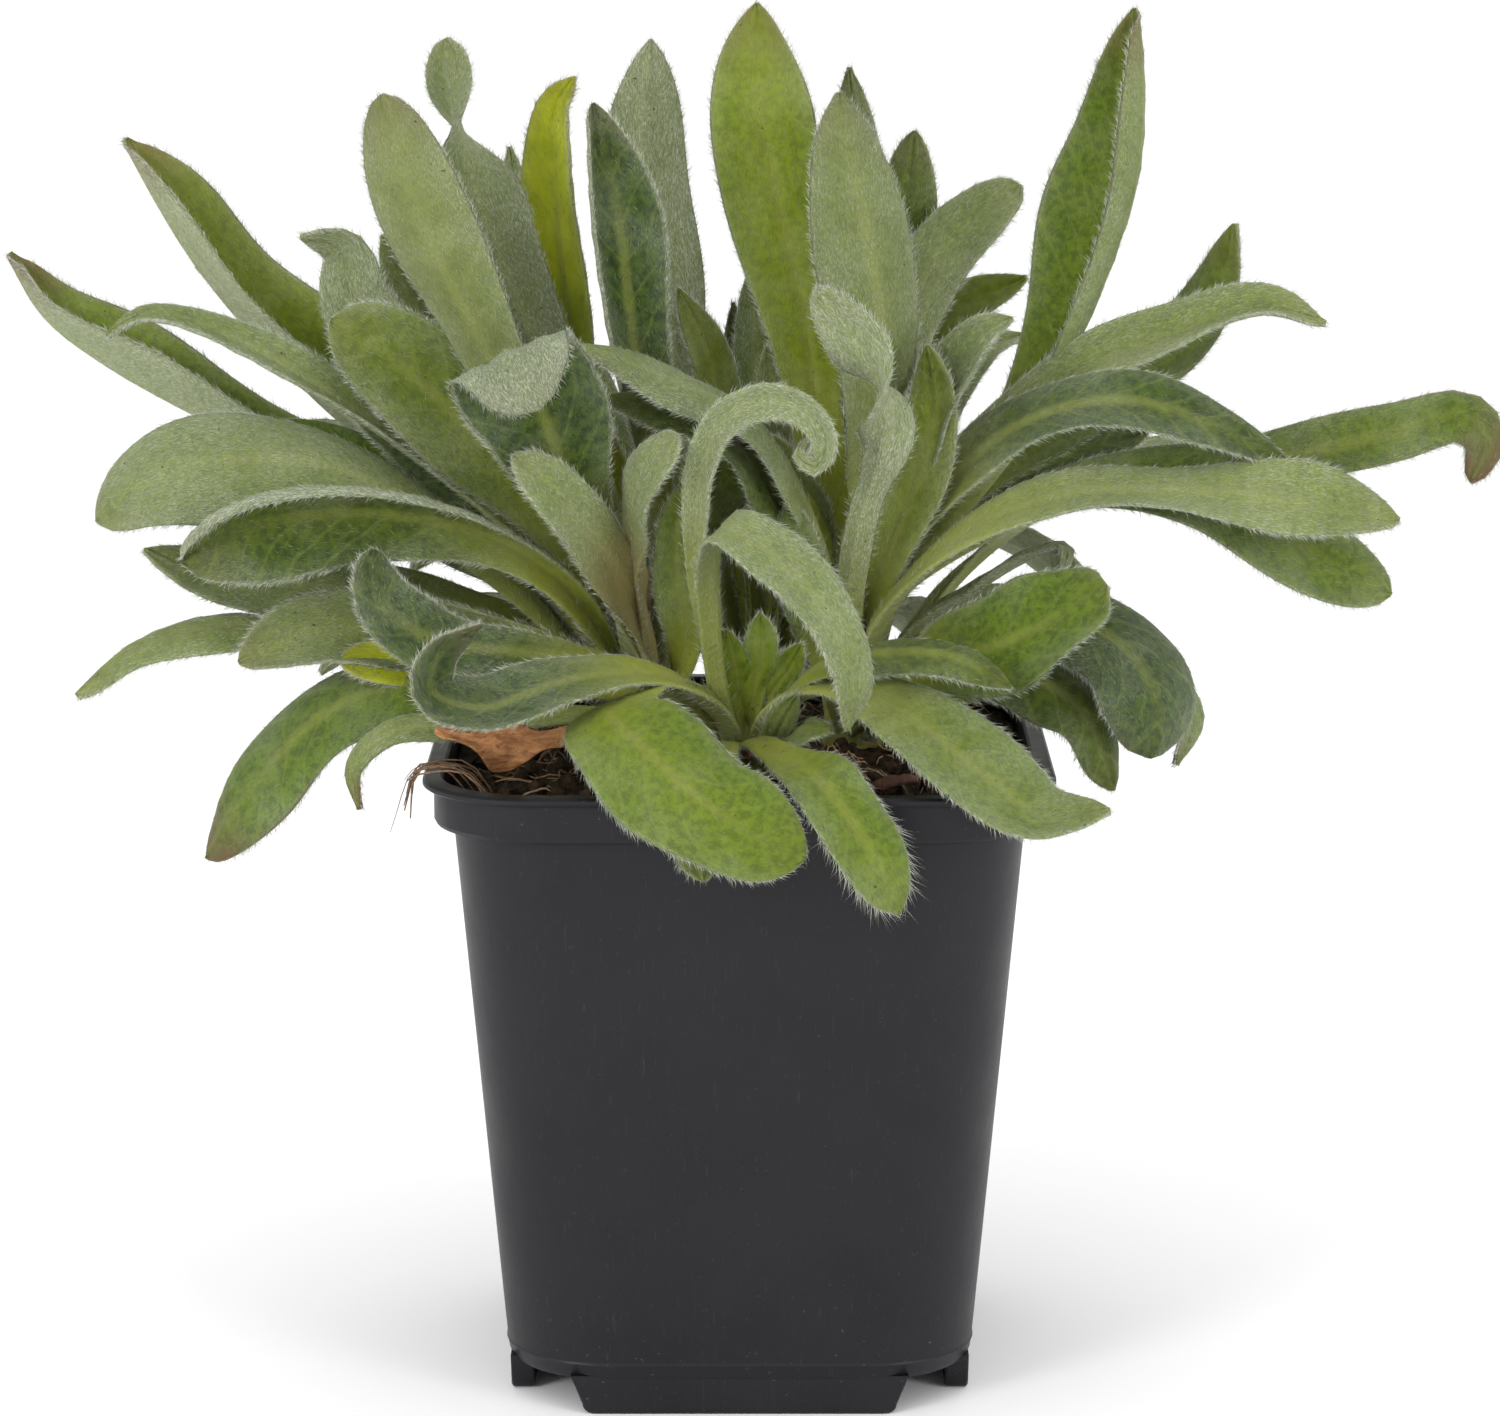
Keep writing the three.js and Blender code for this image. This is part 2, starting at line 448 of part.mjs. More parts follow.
const RIGHT_SHOOT = [
  // the upright leaves
  [[[14, 4, 119], [12, 4, 137], [9.5, 3, 156], [5, 2, 175], [2.8, 1, 190], [2.5, 0, 201]], 21,
    { faces: [-0.25, -0.95, 0.1], cup: 30, swell: [0.35, 0.88] }],
  [[[19, -3, 120], [20, -6, 139], [20, -8, 156], [17, -9, 174], [14, -10, 189]], 18,
    { faces: [-0.4, 0.9, 0], cup: 30, swell: [0.25, 0.85] }],
  [[[16, 10, 118], [19, 12, 142], [18, 12, 169], [16, 11, 191]], 10, { faces: [0, 1, 0] }],
  [[[18, 16, 120], [21, 19, 141], [24, 20, 163], [26, 20, 181]], 12,
    { faces: [-0.2, -0.9, 0.3], blunt: 0.5, swell: [0.4, 0.85] }],
  [[[20, 9, 120], [22, 10, 138], [25, 12, 153], [30, 13.5, 163], [36, 14, 169], [41.5, 13, 173.5]], 12.5,
    { faces: [-0.5, -0.8, 0.3], blunt: 0.9, swell: [0.4, 0.8] }],
  [[[21, 14, 117], [26, 20, 138], [32, 22, 153], [43, 22, 159]], 11, { faces: [-0.2, -0.6, 0.8] }],
  [[[20, -4, 119], [26, -7, 136], [31, -9, 149], [35, -11, 155], [39, -12, 157]], 11,
    { faces: [-0.5, -0.7, 0.5], cup: 40 }],
  [[[21, 2, 112], [31, 3, 125], [41, 5, 138], [48, 6, 152], [53, 6, 166], [56, 6, 178], [57, 5, 189],
    [57, 4, 200]], 25, { faces: [-0.4, -0.9, 0.2], cup: [160, 25], blunt: 0, swell: [0.42, 0.82] }],
  // the long outer leaves
  [[[21, 8, 114], [36, 13, 131], [52, 15, 141], [65, 15, 150], [71, 14, 159], [73, 12, 168]], 14.5,
    { faces: [-0.4, -0.7, 0.6] }],
  [[[21, 0, 114], [32, 0, 133], [50, 0, 147], [64, 0, 153], [76, -1, 157], [85, -2, 155]], 12,
    { faces: [0, -0.6, 0.9], cup: 15, fold: 25 }],
  [[[20, -5, 113], [30, -8, 132], [42, -10, 142], [56, -12, 145], [69, -13, 141], [79, -14, 136]], 12.5,
    { faces: [0.1, -0.6, 0.8] }],
  [[[22, 4, 113], [38, 7, 125], [59, 9, 129.5], [80, 9, 133.5], [96, 7, 137.5], [106, 4, 140.5],
    [109, 1, 137.5], [107, -1, 131.5]], 9.5,
    { faces: [0, -0.85, 0.5], blunt: 1, swell: [0.3, 0.8], steps: 11 }],
  [[[20, -9, 113], [33, -13, 126], [46, -16, 132], [63, -19, 133], [78, -20, 132], [94, -20, 129]], 13.5,
    { faces: [0, -0.55, 0.85], wave: 0.2, blunt: 0.8, swell: [0.2, 0.8] }],
  [[[21, -3, 113], [38, -6, 127], [52, -9, 132.5], [68, -11, 131.5], [81, -13, 124], [94, -13, 117]], 17,
    { faces: [0, -0.75, 0.6], blunt: 0.7, swell: [0.35, 0.9] }],
  [[[21, 14, 113], [33, 20, 123], [45, 24, 130], [62, 27, 135]], 12, { faces: [0, -0.7, 0.7] }],
  // the twisted leaf over the middle and its neighbours
  [[[16, -11, 118], [18, -16, 130], [21, -20, 141], [20, -22, 148], [16, -23, 156], [11, -24, 163]], 12.5,
    { faces: [0.2, 0.9, 0.1], twist: 175, stretch: [0.62, 0.88], swell: [0.55, 0.8], blunt: 0.6,
      steps: 13 }],
  [[[20, -8, 118], [25, -10, 132], [28, -11, 144], [27, -11, 153]], 10, { faces: [-0.3, -0.9, 0.2] }],
  [[[14, -4, 116], [7, -8, 134], [0, -10, 143], [-10, -12, 148], [-19, -13, 152], [-24, -13, 153]], 12,
    { faces: [0, -0.3, 1], cup: -25 }],
  [[[13, -3, 114], [6, -6, 128], [-1, -8, 139], [-12, -9, 144], [-20, -9, 145]], 13,
    { faces: [0, -0.3, 1], cup: -20 }],
  [[[12, 4, 112], [9, 4, 126], [5, 2, 138]], 10, { faces: [-0.3, -0.8, 0.5] }],
  [[[12, -6, 108], [9, -9, 120], [7, -9, 130]], 9, { faces: [-0.2, -1, 0.2], steps: 5 }],
  // the low leaves on the right
  [[[24, -14, 104], [32, -20, 109], [42, -25, 114], [52, -28, 121]], 17,
    { faces: [0.1, -0.8, 0.6], blunt: 1 }],
  [[[24, -8, 104], [34, -11, 111], [45, -13, 114], [55, -15, 110], [60, -17, 102], [59, -18, 94]], 20,
    { faces: [0.3, -0.6, 0.6], cup: -25, blunt: 0.9, swell: [0.4, 0.85] }],
  [[[26, 4, 102], [42, 5, 107], [58, 6, 102], [67, 6, 95], [65, 5, 88]], 9.5, { faces: [0.3, -0.6, 0.7] }],
  [[[24, -10, 100], [37, -14, 106], [49, -16, 101], [54, -17, 89]], 13,
    { faces: [0.1, -0.7, 0.7], cup: -20 }],
  [[[24, 2, 108], [34, 4, 115], [43, 5, 120], [48, 4, 121], [47, 2, 117]], 6, {}],
  // the back of the shoot
  [[[30, 16, 112], [48, 28, 124], [66, 36, 130], [80, 42, 124]], 14, { faces: [0.3, 0.5, 0.8] }],
  [[[28, 18, 106], [42, 30, 110], [54, 38, 106], [64, 42, 97]], 13, { faces: [0.3, 0.5, 0.8] }],
  [[[20, 16, 118], [28, 26, 134], [36, 34, 146], [44, 40, 148]], 12, { faces: [0, -0.3, 1], cup: 40 }],
];

const FRONT_SHOOT = [
  // the big leaves over the pot's front edge
  [[[-7, -24, 104], [-14, -31, 106], [-18, -40, 105], [-12, -49, 101], [-3, -54, 94], [9, -56, 88]], 20,
    { faces: [0, -0.75, 0.65], cup: -12, blunt: 0.5 }],
  [[[2, -26, 98], [6, -36, 98], [12, -47, 96], [18, -53, 88], [22, -54, 80]], 12,
    { faces: [0.2, -0.75, 0.65], blunt: 0.5 }],
  [[[-1, -24, 97], [-4, -38, 98], [-6, -49, 95], [-5, -52, 84]], 11, { faces: [0, -0.9, 0.4], blunt: 0.6 }],
  [[[5, -24, 103], [14, -29, 107], [25, -38, 103], [33, -45, 98], [41, -50, 93], [51, -52.5, 94]], 15.5,
    { faces: [0.1, -0.65, 0.75] }],
  [[[6, -22, 103], [13, -28, 110], [21, -32, 112], [30, -35, 112], [38, -37, 108]], 9,
    { faces: [0, -0.5, 0.9], cup: -20 }],
  // the leaf bent over to the left
  [[[-3, -25, 103], [-13, -32, 109], [-25, -38, 109], [-36, -42, 106], [-43, -43.5, 109], [-42, -42.5, 114],
    [-36, -41, 118]], 13, { faces: [0, -0.5, 0.85], cup: 20, blunt: 0.3, steps: 11 }],
  // the hanging and the curled leaf of the middle
  [[[-3, -22, 105], [-4, -25, 116], [-4, -28, 125], [-2, -32, 130], [4, -36, 127], [10, -40, 122],
    [14, -42, 116], [16, -42, 110], [15, -41, 103]], 10.5, { faces: [0.5, -0.8, 0.4], steps: 12 }],
  [[[-4, -15, 105], [-6, -18, 117], [-6, -20, 128], [-5, -21, 137], [-2, -23, 144], [4, -25, 147],
    [9, -27, 146], [12, -27, 142], [11, -26.5, 138], [8.5, -26, 139.5], [10, -25.5, 142]], 6.5,
    { faces: [0.2, -0.6, 0.8], cup: 60, steps: 16 }],
  // the buds of young leaves
  [[[2, -20, 104], [3, -21, 110], [3, -22, 116]], 6, { faces: [0, -1, 0.2], steps: 5 }],
  [[[0, -20, 104], [-1, -22, 109], [-2, -24, 114]], 5, { faces: [0.3, -1, 0.2], steps: 5 }],
  [[[4, -20, 103], [7, -22, 108], [9, -24, 112]], 5, { faces: [-0.3, -1, 0.2], steps: 5 }],
  [[[5, -24, 97], [9, -29, 100], [13, -33, 101]], 6, { faces: [0, -0.6, 0.8], steps: 5 }],
  [[[4, -24, 97], [6, -28, 102], [8, -30, 106]], 5, { faces: [0.2, -0.9, 0.3], steps: 5 }],
];

const BACK_SHOOT = [
  // the young leaves seen between the others
  [[[2, 22, 122], [0, 24, 140], [-1, 24, 155]], 6, { faces: [0, -1, 0], steps: 5 }],
  [[[3, 18, 123], [3, 20, 141], [2, 20, 161]], 9, { faces: [0, -1, 0] }],
  [[[5, 14, 124], [5, 12, 137], [4, 11, 150]], 7, { faces: [0, -1, 0], steps: 5 }],
  // the leaves of the far side
  [[[-10, 30, 112], [-26, 42, 120], [-42, 50, 118], [-52, 54, 109]], 15, { faces: [-0.3, 0.5, 0.8] }],
  [[[-4, 34, 116], [-12, 45, 128], [-20, 53, 128], [-28, 57, 118]], 15, { faces: [-0.2, 0.6, 0.8] }],
  [[[3, 36, 118], [4, 46, 130], [6, 54, 133], [8, 57, 124]], 16, { faces: [0, 0.6, 0.8] }],
  [[[10, 34, 116], [20, 46, 125], [30, 54, 124], [38, 57, 114]], 15, { faces: [0.2, 0.6, 0.8] }],
  [[[16, 30, 112], [32, 42, 117], [46, 48, 113], [56, 51, 102]], 15, { faces: [0.3, 0.5, 0.8] }],
  [[[-8, 32, 104], [-20, 44, 104], [-30, 53, 96], [-36, 56, 86]], 14, { faces: [-0.2, 0.7, 0.7] }],
  [[[4, 34, 104], [6, 46, 104], [8, 54, 96], [8, 56, 85]], 14, { faces: [0, 0.8, 0.6] }],
  [[[12, 32, 104], [24, 44, 104], [34, 52, 96], [40, 55, 86]], 14, { faces: [0.2, 0.7, 0.7] }],
  [[[0, 30, 124], [-6, 37, 140], [-12, 42, 152]], 12, { faces: [0, -0.6, 0.8], cup: 30 }],
  [[[-6, 28, 116], [-18, 36, 130], [-28, 41, 137]], 13, { faces: [0.2, -0.5, 0.9], cup: 25 }],
  [[[12, 28, 116], [24, 36, 132], [32, 41, 142]], 13, { faces: [-0.2, -0.5, 0.9], cup: 25 }],
  [[[6, 30, 124], [11, 37, 138], [16, 42, 150]], 12, { faces: [0, -0.6, 0.8], cup: 30 }],
];

// A dead leaf lying crumpled on the soil, and a strip of bark.
const DEAD_LEAF_ROUTE = [[-14, -27, 94], [-22, -28, 97.5], [-31, -29, 96.5], [-37, -31, 97], [-42, -32, 98]];
const DEAD_LEAF_WIDTH = 8;
const BARK_LENGTH = 12;
const BARK_WIDTH = 3;
const BARK_THICKNESS = 1.4;
const BARK_PLACE = new THREE.Vector3(22, -33, 93.6);

function barkSolid() {
  const bark = new THREE.BoxGeometry(BARK_LENGTH, BARK_WIDTH, BARK_THICKNESS, 3, 1, 1);
  bark.rotateY(0.12);
  bark.rotateZ(1.1);
  bark.translate(BARK_PLACE.x, BARK_PLACE.y, BARK_PLACE.z);
  return toSolid(bark);
}

function piece(name, solid, look) {
  const mesh = new THREE.Mesh(toGeometry(solid), new THREE.MeshStandardMaterial(look));
  mesh.name = name;
  return mesh;
}

const ANTHRACITE = { color: 0x3a393f, roughness: 0.5, metalness: 0 };
const PEAT = { color: 0x2e2118, roughness: 0.95, metalness: 0 };
const FELTED_GREEN = { color: 0x7f9a5a, roughness: 0.85, metalness: 0 };
const DEAD_BROWN = { color: 0x9a5f34, roughness: 0.8, metalness: 0 };
const BARK_BROWN = { color: 0x6b4530, roughness: 0.85, metalness: 0 };

const group = new THREE.Group();
group.add(
  piece('pot', potSolid(), ANTHRACITE),
  piece('soil', soilSolid(), PEAT),
  piece('shoot_left', shootSolid(LEFT_CROWN, 106, LEFT_SHOOT), FELTED_GREEN),
  piece('shoot_right', shootSolid(RIGHT_CROWN, 106, RIGHT_SHOOT), FELTED_GREEN),
  piece('shoot_front', shootSolid(FRONT_CROWN, 100, FRONT_SHOOT), FELTED_GREEN),
  piece('shoot_back', shootSolid(BACK_CROWN, 106, BACK_SHOOT), FELTED_GREEN),
  piece('dead_leaf', leaf(DEAD_LEAF_ROUTE, DEAD_LEAF_WIDTH, { cup: -35, wave: 0.3, petiole: 0.6 }), DEAD_BROWN),
  piece('bark_strip', barkSolid(), BARK_BROWN),
);

export default group;
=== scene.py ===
import math

import bmesh
import bpy
import numpy as np
from mathutils import Matrix, Vector, noise


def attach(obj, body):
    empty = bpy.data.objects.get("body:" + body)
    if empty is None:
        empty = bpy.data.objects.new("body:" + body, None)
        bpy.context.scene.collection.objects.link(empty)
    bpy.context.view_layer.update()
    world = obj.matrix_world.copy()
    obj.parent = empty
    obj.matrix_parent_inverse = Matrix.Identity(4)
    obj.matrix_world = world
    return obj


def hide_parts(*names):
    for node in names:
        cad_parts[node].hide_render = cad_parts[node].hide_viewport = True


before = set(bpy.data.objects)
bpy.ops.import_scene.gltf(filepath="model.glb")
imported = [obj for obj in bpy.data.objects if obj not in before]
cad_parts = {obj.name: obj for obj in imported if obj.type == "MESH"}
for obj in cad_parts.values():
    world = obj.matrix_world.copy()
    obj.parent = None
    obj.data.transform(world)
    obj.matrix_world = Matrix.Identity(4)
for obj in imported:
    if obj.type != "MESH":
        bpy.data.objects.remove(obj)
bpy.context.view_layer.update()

MM = 0.001

# Camera, fitted to the pot's rim, foot and corners in the photograph
PHOTO_WIDTH_PX = 1500
FOCAL_LENGTH_PX = 4900
SENSOR_WIDTH_MM = 36
CAMERA_DISTANCE_MM = 724
CAMERA_ELEVATION_DEG = 11.6
AIM_POINT_MM = (1.5, 0, 97.7)

# Pot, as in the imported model
POT_HEIGHT_MM = 94
LIP_HALF_WIDTH_MM = 45
LIP_THICKNESS_MM = 1.2
BAND_HALF_WIDTH_MM = 43.5
BAND_HEIGHT_MM = 7
BODY_TOP_HALF_WIDTH_MM = 40.9
BODY_FOOT_HALF_WIDTH_MM = 34
POT_CORNER_RADIUS_MM = 15.5
POT_WALL_MM = 1.3
POT_FLOOR_MM = 1.6
TAB_HEIGHT_MM = 5
TAB_TOP_HALF_WIDTH_MM = 24.5
TAB_FOOT_HALF_WIDTH_MM = 22.5
TAB_THICKNESS_MM = 3.4
TAB_SUNK_MM = 0.8
TAB_INSET_MM = 0.4
TAB_ROUND_MM = 1.5
TAB_ROUND_WIDTH_MM = 1.8
DRAIN_RADIUS_MM = 4.5
DRAIN_OFFSET_MM = 17
EDGE_ROUND_MM = 0.35
PARTING_LINE_MM = 7.6
CORNER_STEPS = 14

# Soil
SOIL_GAP_MM = 0.35
SOIL_EDGE_HEIGHT_MM = 89.5
SOIL_HEAP_MM = 3
SOIL_LUMP_MM = 0.7
SOIL_GRAIN_MM = 1.1
SOIL_RINGS = 56
SOIL_SIDE_STEPS = 26
CLODS = 620
FIBRES = 330
LIP_ROOTS = 9
CLOD_RADIUS_MM = 1.9
CLOD_REACH_MM = 39.5
CLOD_CORNER_MM = 11
FIBRE_REACH_MM = 38.5
FIBRE_LIMIT_MM = 40
FIBRE_CORNER_MM = 10
FIBRE_LENGTHS_MM = (3, 11)
STRAND_RADII_MM = (0.08, 0.2)
STREWN_CORNER_MM = 28

# Leaves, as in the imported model
PETIOLE_SHARE = 0.34
SWELL = (0.15, 0.75)
ROOT_THICKNESS_MM = 2.4
BLADE_THICKNESS_MM = 1.1
EDGE_THICKNESS_MM = 0.7
TIP_HALF_WIDTH_MM = 0.3
CREASED_HALF_WIDTH_MM = 3
WAVES_ALONG = 2.3
WAVE_LAG = 1.3
CUP_DEG = 15
LEAST_CUP = 0.01
PLEAT_MM = 0.2
PLEATS_ACROSS = 3.3
TWIST_STRETCH = (0.5, 1)
ROWS = 42
TIP_CROWDING = 1.25
ACROSS = (0.06, 0.17, 0.36, 0.58, 0.8, 0.94)
MIDRIB_GROOVE_MM = 0.35
MIDRIB_GROOVE_REACH_MM = 0.8
MIDRIB_RIDGE_MM = 0.9
MIDRIB_RIDGE_REACH_MM = 1.1
VEIN_SPACING_MM = 6.5
VEIN_SLANT = 1.3
VEIN_HEIGHT_MM = 0.09
CROWN_FOOT_HEIGHT_MM = 82
CROWN_RADIUS_MM = 5
CROWN_SIDES = 28

# Unevenness of a leaf's margins: share of the half-width and radians along the leaf, then for the
# ruffles share of the half-width, waves along the leaf and the first of two random phases
EDGE_WAVES = ((0.05, 9), (0.035, 21))
RUFFLES = ((0.1, 3.1, 4), (0.08, 1.7, 0))

# Hairs: counts for each square millimetre of blade and each millimetre of margin, and the share of
# them that a bare face carries, with what full felt adds
HAIRS_PER_MM2 = 0.75
MARGIN_HAIRS_PER_MM = 5
BARE_SHARE, FELT_SHARE = 0.6, 0.75
HAIR_LENGTHS_MM = (0.7, 1.5)
FRINGE_LENGTHS_MM = (0.6, 1.7)
HAIR_RADIUS_MM = 0.04
HAIR_SUNK_MM = 0.08
FRINGE_SUNK_MM = 0.1
HAIR_CORNERS_RAD = (0, 2.094, 4.189)

# Looks of a leaf: the felt on its upper and on its lower face, and how yellow, how dark and how
# withered its tissue is. The darkness is partly the leaf's own darker green and partly painted
# shade, put on leaves that sit in shade
LOOKS = {
    "fresh": (0.03, 0.3, 0.06, 0.15, 0),
    "lime": (0.05, 0.35, 0.2, 0, 0),
    "yellow": (0.02, 0.25, 1, 0, 0),
    "green": (0.2, 0.45, 0.1, 0.3, 0),
    "dark": (0.02, 0.4, 0, 1, 0),
    "mottled": (0.1, 0.8, 0.2, 0, 0),
    "olive": (0.16, 0.3, 0.12, 0.75, 0),
    "sage": (0.45, 0.6, 0.12, 0.3, 0),
    "deep": (0.15, 0.6, 0, 1, 0),
    "rolled": (0.08, 0.9, 0, 1, 0),
    "pale": (0.82, 0.88, 0.15, 0, 0),
    "beige": (0.6, 0.8, 0.2, 0, 0.8),
    "tan": (0.45, 0.45, 0.5, 0, 0.8),
}

CROWNS_MM = {
    "shoot_left": (-13, 2, 91),
    "shoot_right": (17, 4, 91),
    "shoot_front": (1, -17, 91),
    "shoot_back": (3, 21, 91),
}
CROWN_TOPS_MM = {"shoot_left": 106, "shoot_right": 106, "shoot_front": 100, "shoot_back": 106}


# Leaf lists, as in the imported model

def blade(route, width, look, faces=None, **shape):
    """A leaf: the points of its midrib beyond the crown, its widest width, its look, the way that its
    upper face looks beyond the middle, and its shape. "rust" browns the tip."""
    return route, width, look, dict(shape, faces=faces)


LEFT_SHOOT = [
    # the long outer leaves
    blade([(-30, 2, 113), (-51, 8, 125), (-76, 15, 137), (-94, 20, 146), (-104, 24, 153), (-110, 27, 162)],
          19, "mottled", (0.2, -0.2, 1), fold=45, cup=25, rust=0.9, swell=(0.25, 0.8)),
    blade([(-27, 6, 113), (-46, 12, 128), (-65, 16, 144), (-80, 18, 161), (-91, 18, 180)],
          25, "mottled", (0.6, -0.45, 0.6), fold=45, cup=15, blunt=0, rust=0.7, swell=(0.2, 0.75)),
    blade([(-30, 12, 116), (-54, 23, 133), (-68, 28, 146), (-82, 30, 160)], 15, "green", (0.4, 0.4, 0.8)),
    blade([(-26, -3, 117), (-39, -3, 130), (-49, -4, 138), (-59, -5, 145), (-70, -7, 152), (-79, -8, 156),
           (-86, -8, 157), (-91, -8, 154)], 7.5, "sage", (0, -0.5, 0.85), cup=50),
    blade([(-29, -4, 113), (-45, -8, 128), (-62, -12, 136), (-77, -14, 136), (-86, -15, 133),
           (-92, -16, 128)], 23, "sage", (0, -0.6, 0.8), cup=-20, blunt=0.7, swell=(0.3, 0.85)),
    blade([(-25, -10, 117), (-37, -15, 126), (-50, -20, 130), (-62, -22, 130), (-72, -24, 128),
           (-79, -26, 124)], 19, "rolled", (-0.1, -0.9, 0.3), cup=(150, 15), blunt=0.9, swell=(0.35, 0.85)),
    # the low leaves on the left
    blade([(-26, 0, 108), (-43, -2, 113), (-60, -3, 116), (-76, -4, 118), (-87, -4, 122)],
          13, "sage", (0, -0.7, 0.7)),
    blade([(-23, -8, 105), (-38, -13, 109), (-52, -16, 112), (-63, -17, 112), (-72, -18, 108)],
          17, "sage", (0, -0.85, 0.35), cup=75, rust=0.4),
    blade([(-22, -4, 103), (-38, -8, 106), (-55, -10, 109), (-73, -11, 112), (-87, -12, 109),
           (-96, -13, 102)], 11, "sage", (0, -0.35, 1), cup=-25, blunt=0.6),
    blade([(-17, -14, 106), (-31, -20, 110), (-43, -23, 112), (-50, -25, 117), (-52, -26, 122),
           (-52, -26, 126)], 10, "deep", (0.6, -0.8, 0.3), blunt=1, swell=(0.3, 0.8)),
    blade([(-15, -14, 103), (-30, -19, 106), (-46, -21, 106), (-59, -20, 101), (-69, -19, 91),
           (-77, -18, 79)], 16, "fresh", (-0.3, -0.6, 0.7), cup=-15, blunt=0.7, rust=1),
    blade([(-14, -18, 100), (-28, -25, 102), (-41, -27, 101), (-50, -28, 100), (-55, -29, 95),
           (-54, -29, 89)], 5.5, "sage", (-0.4, -0.7, 0.6), cup=-50, rust=0.9),
    blade([(-14, -6, 100), (-26, -10, 103), (-38, -15, 106), (-48, -19, 108), (-57, -22, 109)],
          8, "yellow", (0, -0.8, 0.6), blunt=1, rust=0.5),
    # the upright leaves
    blade([(-20, -3, 120), (-29, -7, 137), (-37, -10, 154), (-46, -12, 173), (-50.5, -13, 189)],
          16.5, "olive", (0.4, 0.9, 0.1), blunt=0.7, rust=0.4, swell=(0.3, 0.9)),
    blade([(-18, 2, 123), (-26, 2, 143), (-34, 4, 162), (-40, 2, 179), (-42, 0, 196)],
          14, "sage", (0.3, 0.9, 0.1), twist=165, wave=0.15, swell=(0.3, 0.8), blunt=0.9, stretch=(0.7, 1)),
    blade([(-15, 12, 121), (-25, 15, 144), (-32, 16, 165), (-34, 16, 179)], 8, "pale", (0, -1, 0)),
    blade([(-15, 6, 122), (-22, 8, 142), (-26, 8, 162), (-27, 8, 178), (-26.5, 7, 186), (-24, 5, 190)],
          14, "yellow", (-0.4, -0.9, 0.1), cup=(70, 30), rust=0.5, swell=(0.3, 0.85)),
    blade([(-12, 0, 120), (-14, -1, 141), (-16, -2, 158), (-18, -3, 174), (-21, -4, 187)],
          15.5, "rolled", (0, -1, 0.1), cup=(30, 110), rust=0.3, swell=(0.3, 0.85)),
    blade([(-10, 9, 118), (-9, 12, 139), (-11, 13, 157), (-14, 13, 176), (-13, 12, 195)],
          16, "pale", (0, 1, 0.1), swell=(0.3, 0.85)),
    blade([(-6, 8, 117), (-3, 9, 134), (-4, 8, 148), (-9, 7, 159)], 8, "olive", (0.2, -0.9, 0.1), rust=0.1),
    # the broad middle leaves
    blade([(-17, -8, 114), (-21, -12.5, 126), (-25.5, -17, 137), (-28.5, -20, 145.5), (-31.5, -22.5, 150.5),
           (-32.5, -26, 153.5), (-31.5, -29.5, 153), (-30, -31, 150), (-28, -31, 146.5)],
          20, "rolled", (0.1, -1, 0.1), blunt=0.9, swell=(0.4, 0.78), cup=12),
    blade([(-22, -3, 119), (-32, -5, 133), (-43, -6, 144), (-52, -6, 152), (-59, -6, 156)],
          18, "olive", (-0.3, -0.8, 0.5), blunt=0.6, swell=(0.3, 0.8)),
    blade([(-22, 4, 118), (-35, 6, 132), (-49, 7, 146), (-56, 7, 157), (-58, 6, 165), (-64, 4, 167)],
          14, "pale", (-0.5, -0.8, 0.3)),
    blade([(-21, 12, 118), (-36, 15, 138), (-46, 16, 153), (-53, 16, 166)], 12, "sage", (-0.2, -0.9, 0.4)),
    blade([(-26, 0, 116), (-36, 1, 130), (-44, 2, 136), (-58, 2, 144)], 15, "dark", (0, -0.7, 0.7)),
    blade([(-28, 4, 113), (-44, 6, 124), (-56, 8, 132), (-68, 10, 139)], 12, "fresh", (0, -0.8, 0.5)),
    blade([(-13.5, -6, 108), (-15.5, -10, 120), (-15, -14.5, 127), (-14.5, -18, 132.5), (-12.5, -20.5, 137),
           (-8.5, -22.5, 141.5)],
          9.5, "beige", (-0.3, -0.7, 0.7), blunt=1, petiole=0.6, swell=(0.5, 0.8), cup=10),
    blade([(-15, -9, 113), (-19, -15, 122), (-23, -19, 128.5), (-27, -22.5, 134), (-32, -24.5, 139)],
          10.5, "beige", (0.3, -0.8, 0.5), cup=30, rust=0.2, petiole=0.6, swell=(0.2, 0.6), blunt=0.6),
    # the back of the shoot
    blade([(-24, 16, 112), (-40, 28, 124), (-58, 38, 132), (-74, 44, 130)], 15, "green", (-0.3, 0.5, 0.8)),
    blade([(-22, 20, 106), (-38, 32, 108), (-54, 42, 104), (-66, 46, 94)], 13, "sage", (-0.3, 0.5, 0.8)),
    blade([(-16, 16, 118), (-22, 26, 134), (-28, 34, 146), (-36, 40, 150)],
          12, "sage", (0, -0.3, 1), cup=40),
    blade([(-8, 4, 112), (-4, 4, 126), (0, 2, 138)], 10, "green", (0, -1, 0)),
    blade([(-8, -6, 108), (-9, -9, 122), (-8, -9, 133)], 9, "green", (0.2, -1, 0.2)),
]

